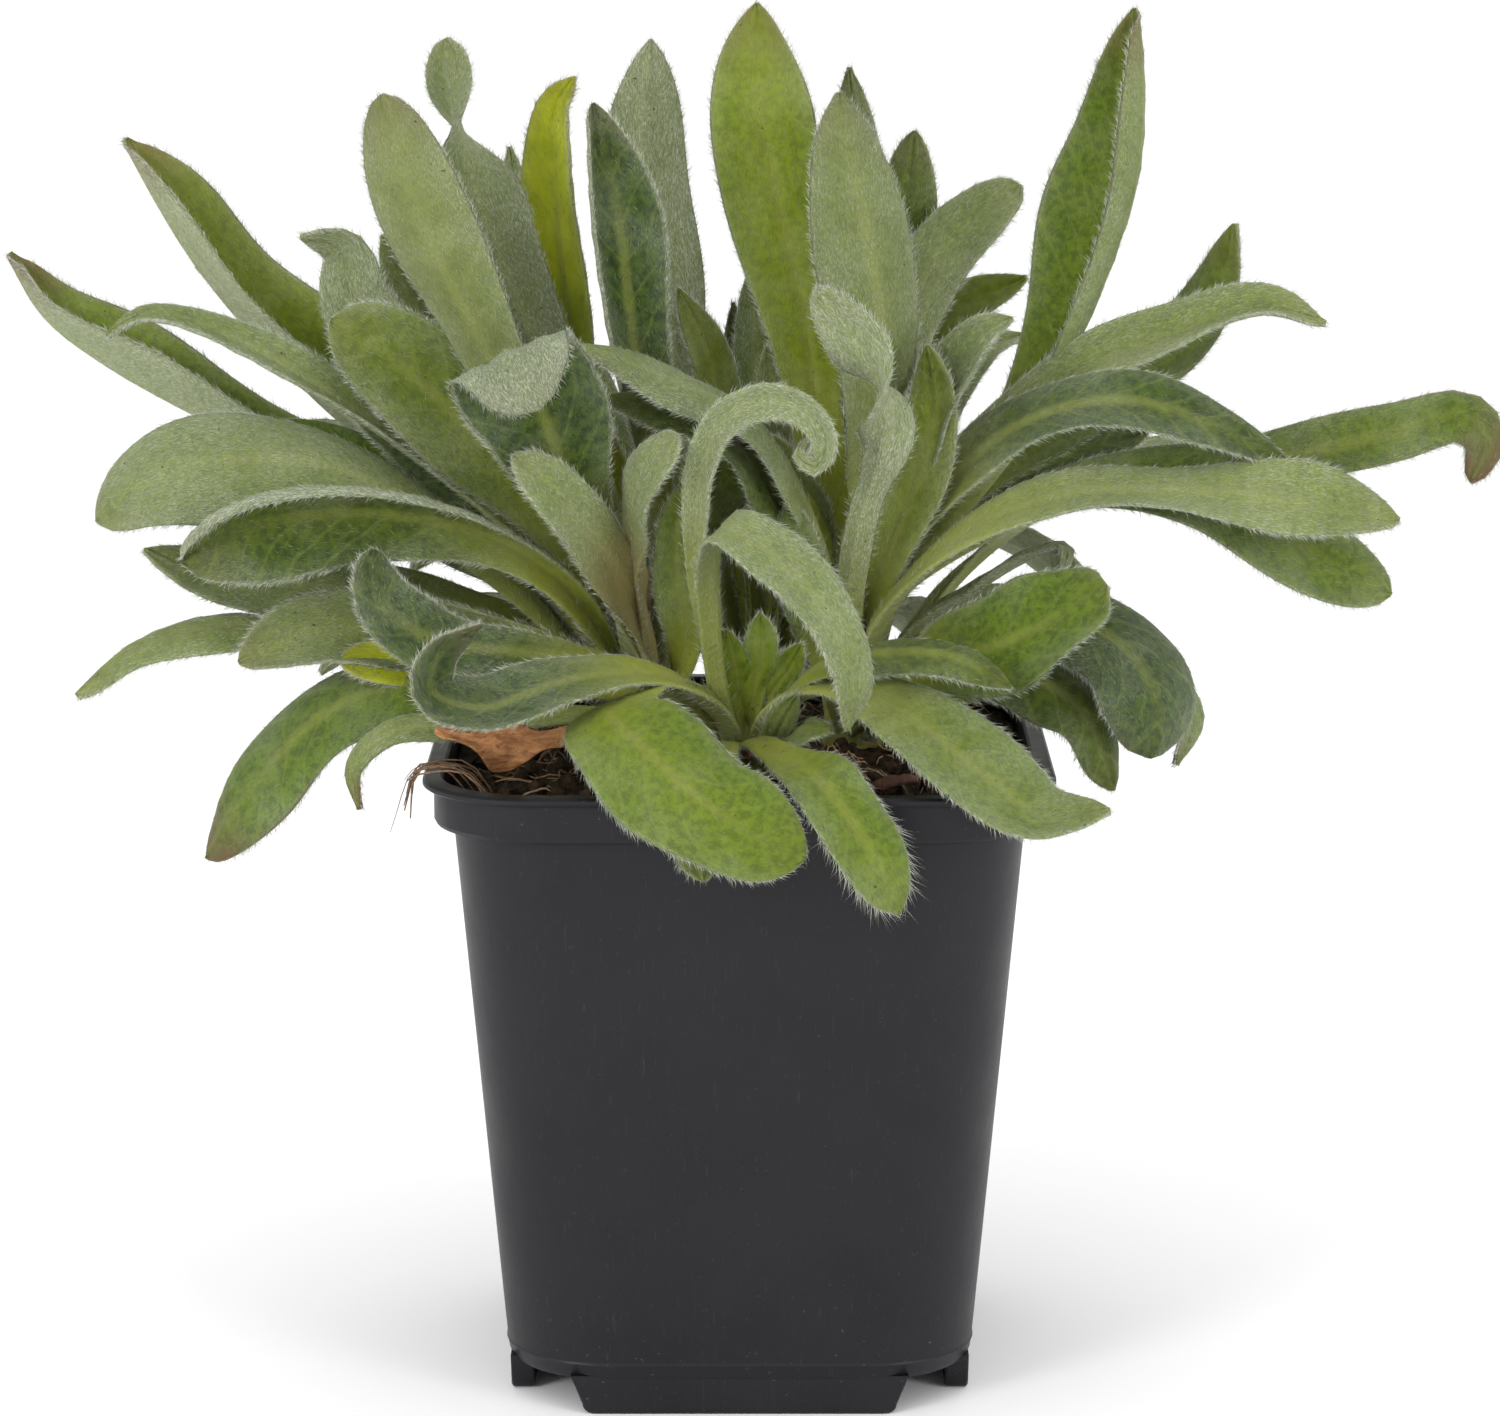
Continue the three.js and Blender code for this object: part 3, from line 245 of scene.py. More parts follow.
RIGHT_SHOOT = [
    # the upright leaves
    blade([(14, 4, 119), (12, 4, 137), (9.5, 3, 156), (5, 2, 175), (2.8, 1, 190), (2.5, 0, 201)],
          21, "lime", (-0.25, -0.95, 0.1), cup=30, rust=0.5, swell=(0.35, 0.88)),
    blade([(19, -3, 120), (20, -6, 139), (20, -8, 156), (17, -9, 174), (14, -10, 189)],
          18, "olive", (-0.4, 0.9, 0), cup=30, rust=0.3, swell=(0.25, 0.85)),
    blade([(16, 10, 118), (19, 12, 142), (18, 12, 169), (16, 11, 191)], 10, "dark", (0, 1, 0)),
    blade([(18, 16, 120), (21, 19, 141), (24, 20, 163), (26, 20, 181)],
          12, "green", (-0.2, -0.9, 0.3), rust=0.4, blunt=0.5, swell=(0.4, 0.85)),
    blade([(20, 9, 120), (22, 10, 138), (25, 12, 153), (30, 13.5, 163), (36, 14, 169), (41.5, 13, 173.5)],
          12.5, "sage", (-0.5, -0.8, 0.3), blunt=0.9, swell=(0.4, 0.8)),
    blade([(21, 14, 117), (26, 20, 138), (32, 22, 153), (43, 22, 159)], 11, "fresh", (-0.2, -0.6, 0.8)),
    blade([(20, -4, 119), (26, -7, 136), (31, -9, 149), (35, -11, 155), (39, -12, 157)],
          11, "sage", (-0.5, -0.7, 0.5), cup=40),
    blade([(21, 2, 112), (31, 3, 125), (41, 5, 138), (48, 6, 152), (53, 6, 166), (56, 6, 178), (57, 5, 189),
           (57, 4, 200)],
          25, "fresh", (-0.4, -0.9, 0.2), cup=(160, 25), blunt=0, rust=0.6, swell=(0.42, 0.82)),
    # the long outer leaves
    blade([(21, 8, 114), (36, 13, 131), (52, 15, 141), (65, 15, 150), (71, 14, 159), (73, 12, 168)],
          14.5, "fresh", (-0.4, -0.7, 0.6), rust=0.4),
    blade([(21, 0, 114), (32, 0, 133), (50, 0, 147), (64, 0, 153), (76, -1, 157), (85, -2, 155)],
          12, "sage", (0, -0.6, 0.9), cup=15, fold=25),
    blade([(20, -5, 113), (30, -8, 132), (42, -10, 142), (56, -12, 145), (69, -13, 141), (79, -14, 136)],
          12.5, "rolled", (0.1, -0.6, 0.8)),
    blade([(22, 4, 113), (38, 7, 125), (59, 9, 129.5), (80, 9, 133.5), (96, 7, 137.5), (106, 4, 140.5),
           (109, 1, 137.5), (107, -1, 131.5)],
          9.5, "green", (0, -0.85, 0.5), blunt=1, rust=1, swell=(0.3, 0.8)),
    blade([(20, -9, 113), (33, -13, 126), (46, -16, 132), (63, -19, 133), (78, -20, 132), (94, -20, 129)],
          13.5, "sage", (0, -0.55, 0.85), wave=0.2, blunt=0.8, swell=(0.2, 0.8)),
    blade([(21, -3, 113), (38, -6, 127), (52, -9, 132.5), (68, -11, 131.5), (81, -13, 124), (94, -13, 117)],
          17, "green", (0, -0.75, 0.6), blunt=0.7, swell=(0.35, 0.9)),
    blade([(21, 14, 113), (33, 20, 123), (45, 24, 130), (62, 27, 135)], 12, "dark", (0, -0.7, 0.7)),
    # the twisted leaf over the middle and its neighbours
    blade([(16, -11, 118), (18, -16, 130), (21, -20, 141), (20, -22, 148), (16, -23, 156), (11, -24, 163)],
          12.5, "pale", (0.2, 0.9, 0.1), swell=(0.55, 0.8), twist=175, blunt=0.6, stretch=(0.62, 0.88)),
    blade([(20, -8, 118), (25, -10, 132), (28, -11, 144), (27, -11, 153)], 10, "olive", (-0.3, -0.9, 0.2)),
    blade([(14, -4, 116), (7, -8, 134), (0, -10, 143), (-10, -12, 148), (-19, -13, 152), (-24, -13, 153)],
          12, "sage", (0, -0.3, 1), cup=-25),
    blade([(13, -3, 114), (6, -6, 128), (-1, -8, 139), (-12, -9, 144), (-20, -9, 145)],
          13, "dark", (0, -0.3, 1), cup=-20),
    blade([(12, 4, 112), (9, 4, 126), (5, 2, 138)], 10, "green", (-0.3, -0.8, 0.5)),
    blade([(12, -6, 108), (9, -9, 120), (7, -9, 130)], 9, "green", (-0.2, -1, 0.2)),
    # the low leaves on the right
    blade([(24, -14, 104), (32, -20, 109), (42, -25, 114), (52, -28, 121)],
          17, "fresh", (0.1, -0.8, 0.6), blunt=1),
    blade([(24, -8, 104), (34, -11, 111), (45, -13, 114), (55, -15, 110), (60, -17, 102), (59, -18, 94)],
          20, "deep", (0.3, -0.6, 0.6), cup=-25, blunt=0.9, swell=(0.4, 0.85)),
    blade([(26, 4, 102), (42, 5, 107), (58, 6, 102), (67, 6, 95), (65, 5, 88)],
          9.5, "sage", (0.3, -0.6, 0.7), rust=0.4),
    blade([(24, -10, 100), (37, -14, 106), (49, -16, 101), (54, -17, 89)],
          13, "dark", (0.1, -0.7, 0.7), cup=-20),
    blade([(24, 2, 108), (34, 4, 115), (43, 5, 120), (48, 4, 121), (47, 2, 117)], 6, "pale"),
    # the back of the shoot
    blade([(30, 16, 112), (48, 28, 124), (66, 36, 130), (80, 42, 124)], 14, "green", (0.3, 0.5, 0.8)),
    blade([(28, 18, 106), (42, 30, 110), (54, 38, 106), (64, 42, 97)], 13, "sage", (0.3, 0.5, 0.8)),
    blade([(20, 16, 118), (28, 26, 134), (36, 34, 146), (44, 40, 148)], 12, "green", (0, -0.3, 1), cup=40),
]

FRONT_SHOOT = [
    # the big leaves over the pot's front edge
    blade([(-7, -24, 104), (-14, -31, 106), (-18, -40, 105), (-12, -49, 101), (-3, -54, 94), (9, -56, 88)],
          20, "fresh", (0, -0.75, 0.65), cup=-12, blunt=0.5),
    blade([(2, -26, 98), (6, -36, 98), (12, -47, 96), (18, -53, 88), (22, -54, 80)],
          12, "fresh", (0.2, -0.75, 0.65), blunt=0.5, fringe=1),
    blade([(-1, -24, 97), (-4, -38, 98), (-6, -49, 95), (-5, -52, 84)],
          11, "green", (0, -0.9, 0.4), blunt=0.6),
    blade([(5, -24, 103), (14, -29, 107), (25, -38, 103), (33, -45, 98), (41, -50, 93), (51, -52.5, 94)],
          15.5, "green", (0.1, -0.65, 0.75)),
    blade([(6, -22, 103), (13, -28, 110), (21, -32, 112), (30, -35, 112), (38, -37, 108)],
          9, "dark", (0, -0.5, 0.9), cup=-20),
    # the leaf bent over to the left
    blade([(-3, -25, 103), (-13, -32, 109), (-25, -38, 109), (-36, -42, 106), (-43, -43.5, 109),
           (-42, -42.5, 114), (-36, -41, 118)], 13, "rolled", (0, -0.5, 0.85), cup=20, rust=0.5, blunt=0.3),
    # the hanging and the curled leaf of the middle
    blade([(-3, -22, 105), (-4, -25, 116), (-4, -28, 125), (-2, -32, 130), (4, -36, 127), (10, -40, 122),
           (14, -42, 116), (16, -42, 110), (15, -41, 103)], 10.5, "sage", (0.5, -0.8, 0.4)),
    blade([(-4, -15, 105), (-6, -18, 117), (-6, -20, 128), (-5, -21, 137), (-2, -23, 144), (4, -25, 147),
           (9, -27, 146), (12, -27, 142), (11, -26.5, 138), (8.5, -26, 139.5), (10, -25.5, 142)],
          6.5, "pale", (0.2, -0.6, 0.8), cup=60),
    # the buds of young leaves
    blade([(2, -20, 104), (3, -21, 110), (3, -22, 116)], 6, "fresh", (0, -1, 0.2)),
    blade([(0, -20, 104), (-1, -22, 109), (-2, -24, 114)], 5, "fresh", (0.3, -1, 0.2)),
    blade([(4, -20, 103), (7, -22, 108), (9, -24, 112)], 5, "fresh", (-0.3, -1, 0.2)),
    blade([(5, -24, 97), (9, -29, 100), (13, -33, 101)], 6, "green", (0, -0.6, 0.8)),
    blade([(4, -24, 97), (6, -28, 102), (8, -30, 106)], 5, "green", (0.2, -0.9, 0.3)),
]

BACK_SHOOT = [
    # the young leaves seen between the others
    blade([(2, 22, 122), (0, 24, 140), (-1, 24, 155)], 6, "dark", (0, -1, 0)),
    blade([(3, 18, 123), (3, 20, 141), (2, 20, 161)], 9, "sage", (0, -1, 0)),
    blade([(5, 14, 124), (5, 12, 137), (4, 11, 150)], 7, "sage", (0, -1, 0)),
    # the leaves of the far side
    blade([(-10, 30, 112), (-26, 42, 120), (-42, 50, 118), (-52, 54, 109)], 15, "sage", (-0.3, 0.5, 0.8)),
    blade([(-4, 34, 116), (-12, 45, 128), (-20, 53, 128), (-28, 57, 118)], 15, "green", (-0.2, 0.6, 0.8)),
    blade([(3, 36, 118), (4, 46, 130), (6, 54, 133), (8, 57, 124)], 16, "sage", (0, 0.6, 0.8)),
    blade([(10, 34, 116), (20, 46, 125), (30, 54, 124), (38, 57, 114)], 15, "green", (0.2, 0.6, 0.8)),
    blade([(16, 30, 112), (32, 42, 117), (46, 48, 113), (56, 51, 102)], 15, "sage", (0.3, 0.5, 0.8)),
    blade([(-8, 32, 104), (-20, 44, 104), (-30, 53, 96), (-36, 56, 86)], 14, "fresh", (-0.2, 0.7, 0.7)),
    blade([(4, 34, 104), (6, 46, 104), (8, 54, 96), (8, 56, 85)], 14, "green", (0, 0.8, 0.6)),
    blade([(12, 32, 104), (24, 44, 104), (34, 52, 96), (40, 55, 86)], 14, "sage", (0.2, 0.7, 0.7)),
    blade([(0, 30, 124), (-6, 37, 140), (-12, 42, 152)], 12, "green", (0, -0.6, 0.8), cup=30),
    blade([(-6, 28, 116), (-18, 36, 130), (-28, 41, 137)], 13, "sage", (0.2, -0.5, 0.9), cup=25),
    blade([(12, 28, 116), (24, 36, 132), (32, 41, 142)], 13, "fresh", (-0.2, -0.5, 0.9), cup=25),
    blade([(6, 30, 124), (11, 37, 138), (16, 42, 150)], 12, "sage", (0, -0.6, 0.8), cup=30),
]

SHOOTS = {"shoot_left": LEFT_SHOOT, "shoot_right": RIGHT_SHOOT, "shoot_front": FRONT_SHOOT,
          "shoot_back": BACK_SHOOT}

# What lies on the soil: dead leaves with their widths, and a strip of bark
DEAD_LEAF_ROUTE_MM = [(-14, -27, 95), (-22, -28, 99.5), (-31, -29, 98.5), (-37, -31, 99.5), (-43, -32, 101)]
DEAD_SCRAP_ROUTE_MM = [(-36, -28, 100), (-39, -29, 103), (-42, -29, 104.5), (-44, -30, 104)]
DEAD_CRUMB_ROUTE_MM = [(1, -27, 98), (4, -29, 97.5), (7.5, -30, 96.5)]

BARK_SIZE_MM = (12, 3, 1.4)
BARK_PLACE_MM = (22, -33, 93.6)
BARK_TURN_RAD = 1.1
BARK_TILT_RAD = 0.12
BARK_ROWS = 15
BARK_SIDES = 12

# Studio: the floor, how strongly the sky shines from below and from above, and the two soft lights
# with their places in metres, widths and powers in watts
FLOOR_HALF_WIDTH_MM = 6000
SKY_BELOW, SKY_ABOVE = 1.0, 1.16
LIGHTS = (
    ("key", (-0.75, -0.8, 0.5), 0.4, 5),
    ("fill", (0.8, -0.7, 0.4), 0.4, 3.5),
)
LIGHT_AIM_M = (0, 0, 0.1)


# Vectors and curves

def unit(vectors):
    return vectors / (np.linalg.norm(vectors, axis=-1, keepdims=True) + 1e-12)


def smoothstep(x, low, high):
    t = np.clip((x - low) / (high - low), 0, 1)
    return t * t * (3 - 2 * t)


def spline_point(points, place):
    """A centripetal Catmull-Rom spline through the points, at a place from 0 to len(points) - 1."""
    last = len(points) - 1
    k = min(int(place), last - 1)
    w = place - k
    p1, p2 = points[k], points[k + 1]
    p0 = points[k - 1] if k > 0 else 2 * points[0] - points[1]
    p3 = points[k + 2] if k + 2 <= last else 2 * points[last] - points[last - 1]
    d0, d1, d2 = (np.linalg.norm(b - a) ** 0.5 for a, b in ((p0, p1), (p1, p2), (p2, p3)))
    start = d1 * ((p1 - p0) / d0 - (p2 - p0) / (d0 + d1) + (p2 - p1) / d1)
    end = d1 * ((p2 - p1) / d1 - (p3 - p1) / (d1 + d2) + (p3 - p2) / d2)
    square = -3 * p1 + 3 * p2 - 2 * start - end
    cube = 2 * p1 - 2 * p2 + start + end
    return p1 + start * w + square * w ** 2 + cube * w ** 3


def along_spline(route, shares):
    """Points and unit tangents at shares of the length of the spline through a route, and that length."""
    points = [np.array(point, float) for point in route]
    fine = np.array([spline_point(points, place) for place in np.linspace(0, len(points) - 1, 200)])
    steps = np.linalg.norm(np.diff(fine, axis=0), axis=1)
    run = np.concatenate([[0], np.cumsum(steps)])
    slopes = unit(np.gradient(fine, axis=0))
    wanted = np.asarray(shares) * run[-1]
    places = np.stack([np.interp(wanted, run, fine[:, k]) for k in range(3)], -1)
    tangents = unit(np.stack([np.interp(wanted, run, slopes[:, k]) for k in range(3)], -1))
    return places, tangents, run[-1]


def carried_sides(points, tangents):
    """Side vectors carried along the route without spinning, level at the root."""
    heading = points[-1] - points[0]
    side = np.cross((0, 0, 1), (heading[0], heading[1], 0))
    side = unit(side - tangents[0] * (side @ tangents[0]))
    sides = [side]
    for before, after in zip(tangents, tangents[1:]):
        axis = np.cross(before, after)
        side = side + np.cross(axis, side) + np.cross(axis, np.cross(axis, side)) / (1 + before @ after)
        sides.append(unit(side))
    return np.array(sides)


# Leaves

def half_widths(along, width, shape):
    """Half the blade's width: a narrow petiole that swells to the widest place, then a tip."""
    blunt, petiole = shape.get("blunt", 0.2), shape.get("petiole", PETIOLE_SHARE)
    grown = petiole + (1 - petiole) * smoothstep(along, *shape.get("swell", SWELL))
    taper = np.maximum(1 - along ** (7 + 5 * blunt), 0) ** (0.85 - 0.4 * blunt)
    return np.maximum(width / 2 * grown * taper, TIP_HALF_WIDTH_MM)


def both_halves(degrees):
    pair = degrees if isinstance(degrees, tuple) else (degrees, degrees)
    return np.radians(pair)


def columns_across():
    return np.array([-1, *(-a for a in reversed(ACROSS)), 0, *ACROSS, 1])


def rolled(sides, tangents, angles):
    """The side vectors turned about the tangents, and the upper directions that go with them."""
    across = np.cross(tangents, sides)
    sides = sides * np.cos(angles)[:, None] + across * np.sin(angles)[:, None]
    return sides, np.cross(tangents, sides)


def leaf_surface(route, width, look, shape, seed):
    """The upper and the lower face of a leaf as grids of points, rows along it and columns across."""
    rng = np.random.default_rng(seed)
    along = 1 - (1 - np.linspace(0, 1, ROWS)) ** TIP_CROWDING
    points, tangents, length = along_spline(route, along)
    sides = carried_sides(points, tangents)
    roll = 0
    if shape.get("faces"):
        middle = int(np.argmax(along > 0.6))
        tangent, side = tangents[middle], sides[middle]
        wanted = np.array(shape["faces"], float)
        wanted = unit(wanted - tangent * (wanted @ tangent))
        roll = math.atan2(-wanted @ side, wanted @ np.cross(tangent, side))
    twist = math.radians(shape.get("twist", 0))
    turned = roll * smoothstep(along, 0, 0.5)
    turned = turned + twist * smoothstep(along, *shape.get("stretch", TWIST_STRETCH))
    sides, uppers = rolled(sides, tangents, turned)

    run, t = along[:, None], columns_across()[None, :]
    wing = (t > 0).astype(int)
    half = half_widths(along, width, shape)[:, None]
    opened = smoothstep(half, 0, CREASED_HALF_WIDTH_MM)
    fold = both_halves(shape.get("fold", 0))[wing] * opened
    cup = both_halves(shape.get("cup", CUP_DEG))[wing] * opened
    cup = np.where(np.abs(cup) < LEAST_CUP, LEAST_CUP, cup)
    angle = fold + cup * np.abs(t)
    phases = rng.uniform(0, 2 * math.pi, 6)
    uneven = 1
    for pair, (height, turn) in enumerate(EDGE_WAVES):
        uneven = uneven + height * np.sin(turn * run + phases[2 * pair + wing])
    out = np.sign(t) * half * uneven * (np.sin(angle) - np.sin(fold)) / cup
    lift = half * (np.cos(fold) - np.cos(angle)) / cup

    blade = smoothstep(along, 0.3, 0.6)[:, None]
    ruffle = shape.get("wave", 0) * np.sin(2 * math.pi * WAVES_ALONG * run + WAVE_LAG * np.sign(t))
    for height, waves, first in RUFFLES:
        ruffle = ruffle + height * np.sin(2 * math.pi * waves * run + phases[first + wing])
    pleats = PLEAT_MM * blade * np.cos(PLEATS_ACROSS * math.pi * t + phases[2] + 2 * run) * (1 - t ** 2)
    lift = lift + half * blade * t ** 2 * ruffle + pleats

    thinned = smoothstep(along, 0, 0.5)[:, None]
    thick = ROOT_THICKNESS_MM + (BLADE_THICKNESS_MM - ROOT_THICKNESS_MM) * thinned
    thickness = thick + (EDGE_THICKNESS_MM - thick) * np.abs(t)
    rim = np.sqrt(np.maximum(1 - np.clip((np.abs(t) - 0.8) / 0.2, 0, 1) ** 2, 0))
    beside = np.abs(t) * half
    groove = MIDRIB_GROOVE_MM * (1 - 0.6 * run) * np.exp(-(beside / MIDRIB_GROOVE_REACH_MM) ** 2)
    ridge = MIDRIB_RIDGE_MM * (1 - 0.85 * run) * np.exp(-(beside / MIDRIB_RIDGE_REACH_MM) ** 2)
    vein = np.sin(2 * math.pi * (run * length - VEIN_SLANT * beside) / VEIN_SPACING_MM)
    vein = VEIN_HEIGHT_MM * vein * blade * smoothstep(beside, 0.5, 2) * rim
    tip = 1 - smoothstep(along, 0.93, 1)[:, None]

    side, upper = sides[:, None, :], uppers[:, None, :]
    normal = -np.sign(t)[..., None] * np.sin(angle)[..., None] * side + np.cos(angle)[..., None] * upper
    centre = points[:, None, :] + side * out[..., None] + upper * lift[..., None]
    above = (thickness / 2 * rim - groove * tip + vein)[..., None]
    below = (thickness / 2 * rim + ridge * tip - vein)[..., None]
    return {
        "above": centre + normal * above,
        "below": centre - normal * below,
        "along": along,
        "half": half[:, 0],
        "length": length,
        "look": look,
        "rust": shape.get("rust", 0.15),
        "fringe": shape.get("fringe", 0),
        "seed": seed,
    }


class LeafMesh:
    """Collects leaves, or other closed tubes of rings, into one mesh with attributes and a bake map."""

    def __init__(self, cells):
        self.cells = cells
        self.points = []
        self.faces = []
        self.map = []
        names = ("along", "across", "upper", "felt", "warm", "dark", "withered", "rust")
        self.floats = {name: [] for name in names}
        self.lie = []
        self.count = 0
        self.tubes = 0

    def add_leaf(self, leaf):
        t = columns_across()
        inner = slice(-2, 0, -1)
        rings = np.concatenate([leaf["above"], leaf["below"][:, inner]], axis=1)
        across = np.concatenate([t, t[inner]])
        upper = np.concatenate([np.ones(len(t)), np.zeros(len(t) - 2)])
        upper[[0, len(t) - 1]] = 0.5
        rows, around = rings.shape[:2]
        along = np.repeat(leaf["along"], around)
        felt_above, felt_below, warm, dark, withered = LOOKS[leaf["look"]]
        wander = np.random.default_rng(leaf["seed"]).uniform(-1, 1, 2)
        values = {
            "along": along,
            "across": np.tile(across, rows),
            "upper": np.tile(upper, rows),
            "felt": felt_below + (felt_above - felt_below) * np.tile(upper, rows) + 0.05 * wander[0],
            "warm": np.full(len(along), warm + 0.08 * wander[1]),
            "dark": np.full(len(along), dark),
            "withered": np.full(len(along), withered),
            "rust": np.full(len(along), leaf["rust"]),
        }
        beside = np.outer(leaf["half"], across).ravel()
        lie = np.stack([beside, along * leaf["length"], np.full(len(along), leaf["seed"] * 3.7)], -1)
        self.add_tube(rings, values, lie)

    def add_tube(self, rings, values, lie):
        """A closed tube: a fan over the first ring, quads between the rings, and a fan over the last."""
        rows, around = rings.shape[:2]
        ends = [rings[0].mean(0), rings[-1].mean(0)]
        self.points.append(np.concatenate([rings.reshape(-1, 3), ends]))
        first, last = self.count + rows * around, self.count + rows * around + 1
        for name, column in self.floats.items():
            column.append(np.concatenate([values[name], values[name][[0, -1]]]))
        self.lie.append(np.concatenate([lie, lie[[0, -1]]]))
        cell_x, cell_y = self.tubes % self.cells, self.tubes // self.cells

        def place(column, row):
            return ((cell_x + 0.04 + 0.92 * column / around) / self.cells,
                    (cell_y + 0.04 + 0.92 * (row + 1) / (rows + 1)) / self.cells)

        for row in range(rows - 1):
            for i in range(around):
                a = self.count + row * around + i
                b = self.count + row * around + (i + 1) % around
                self.faces.append((a, a + around, b + around, b))
                self.map.extend((place(i, row), place(i, row + 1), place(i + 1, row + 1), place(i + 1, row)))
        top = self.count + (rows - 1) * around
        for i in range(around):
            j = (i + 1) % around
            self.faces.append((self.count + i, self.count + j, first))
            self.map.extend((place(i, 0), place(i + 1, 0), place(i + 0.5, -1)))
            self.faces.append((top + j, top + i, last))
            self.map.extend((place(i + 1, rows - 1), place(i, rows - 1), place(i + 0.5, rows)))
        self.count += rows * around + 2
        self.tubes += 1

    def build(self, name, material):
        piece = mesh_piece(name, np.concatenate(self.points), self.faces, material)
        mesh = piece.data
        for attribute, column in self.floats.items():
            layer = mesh.attributes.new(attribute, "FLOAT", "POINT")
            layer.data.foreach_set("value", np.concatenate(column).astype(np.float32))
        lie = mesh.attributes.new("lie_mm", "FLOAT_VECTOR", "POINT")
        lie.data.foreach_set("vector", np.concatenate(self.lie).astype(np.float32).ravel())
        bake = mesh.uv_layers.new(name="OFBake")
        bake.uv.foreach_set("vector", np.array(self.map, np.float32).ravel())
        return piece


def mesh_piece(name, points_mm, faces, material, smooth=True):
    mesh = bpy.data.meshes.new(name)
    mesh.from_pydata((np.asarray(points_mm) * MM).tolist(), [], faces)
    mesh.polygons.foreach_set("use_smooth", [smooth] * len(mesh.polygons))
    mesh.materials.append(material)
    piece = bpy.data.objects.new(name, mesh)
    bpy.context.scene.collection.objects.link(piece)
    return piece


def rooted(crown, route):
    """The route with its root inside the crown, on the side that the leaf leaves by."""
    lean = np.array([route[0][0] - crown[0], route[0][1] - crown[1], 0], float)
    lean = 2 * unit(lean)
    return [(crown[0] + lean[0], crown[1] + lean[1], crown[2] + 2), *route]


def crown_rings(crown, top):
    """The stub of stem between the leaves' roots."""
    angles = np.linspace(0, 2 * math.pi, CROWN_SIDES + 1)[:-1]
    profile = ((CROWN_RADIUS_MM, CROWN_FOOT_HEIGHT_MM), (CROWN_RADIUS_MM, crown[2] - 2),
               (CROWN_RADIUS_MM, crown[2] + 2), (CROWN_RADIUS_MM * 0.85, crown[2] + 6), (1.5, top))
    return np.array([
        np.stack([crown[0] + r * np.cos(angles), crown[1] - r * np.sin(angles), np.full(CROWN_SIDES, z)], -1)
        for r, z in profile])


def shoot_piece(node, leaves, material):
    crown = CROWNS_MM[node]
    body = LeafMesh(cells=6)
    for leaf in leaves:
        body.add_leaf(leaf)
    rings = crown_rings(crown, CROWN_TOPS_MM[node])
    count = rings.shape[0] * rings.shape[1]
    values = dict(along=0, across=0.5, upper=0, felt=0.4, warm=0.6, dark=0.2, withered=0.2, rust=0)
    values = {name: np.full(count, float(value)) for name, value in values.items()}
    body.add_tube(rings, values, rings.reshape(-1, 3))
    piece = body.build(node + "_leaves", material)
    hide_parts(node)
    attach(piece, "root")


# Hairs

def on_grid(grid, row, column):
    """Points of a grid at fractional rows and columns."""
    r = np.clip(row.astype(int), 0, grid.shape[0] - 2)
    c = np.clip(column.astype(int), 0, grid.shape[1] - 2)
    fr, fc = (row - r)[:, None], (column - c)[:, None]
    near = grid[r, c] * (1 - fc) + grid[r, c + 1] * fc
    far = grid[r + 1, c] * (1 - fc) + grid[r + 1, c + 1] * fc
    return near * (1 - fr) + far * fr


def forward_at(grid, row, column):
    """Unit vectors that run along the leaf at places of a grid."""
    ahead = on_grid(grid, np.minimum(row + 0.5, ROWS - 1), column)
    behind = on_grid(grid, np.maximum(row - 0.5, 0), column)
    return unit(ahead - behind)


def surface_hairs(leaf, rng):
    """Roots and tips of the hairs combed over both faces of a leaf."""
    felt_above, felt_below = LOOKS[leaf["look"]][:2]
    area = 2 * leaf["half"].mean() * leaf["length"]
    above, below = leaf["above"], leaf["below"]
    columns = columns_across()
    roots, tips, tones = [], [], []
    for grid, other, felt in ((above, below, felt_above), (below, above, felt_below)):
        share = BARE_SHARE + FELT_SHARE * felt
        count = int(area * HAIRS_PER_MM2 * share)
        weights = leaf["half"][:-1] * np.diff(leaf["along"])
        row = rng.choice(ROWS - 1, size=count, p=weights / weights.sum()) + rng.random(count)
        t = rng.uniform(-0.93, 0.93, count)
        column = np.interp(t, columns, np.arange(len(columns)))
        at = on_grid(grid, row, column)
        outward = unit(at - on_grid(other, row, column))
        forward = forward_at(grid, row, column)
        sideways = unit(np.cross(outward, forward))
        stalk = 1 - smoothstep(np.interp(row, np.arange(ROWS), leaf["along"]), 0.2, 0.5)[:, None]
        length = rng.uniform(*HAIR_LENGTHS_MM, (count, 1)) * (1 + 0.7 * stalk)
        jitter = rng.normal(0, 1, (count, 2))
        rise = 0.22 + 0.16 * np.abs(jitter[:, 1:]) + 0.35 * stalk
        lean = forward * 0.9 + sideways * (0.45 * jitter[:, :1]) + outward * rise
        roots.append(at - outward * HAIR_SUNK_MM)
        tips.append(at + unit(lean) * length)
        tones.append(0.1 + 0.75 * felt + 0.25 * rng.random(count))
    return np.concatenate(roots), np.concatenate(tips), np.concatenate(tones)


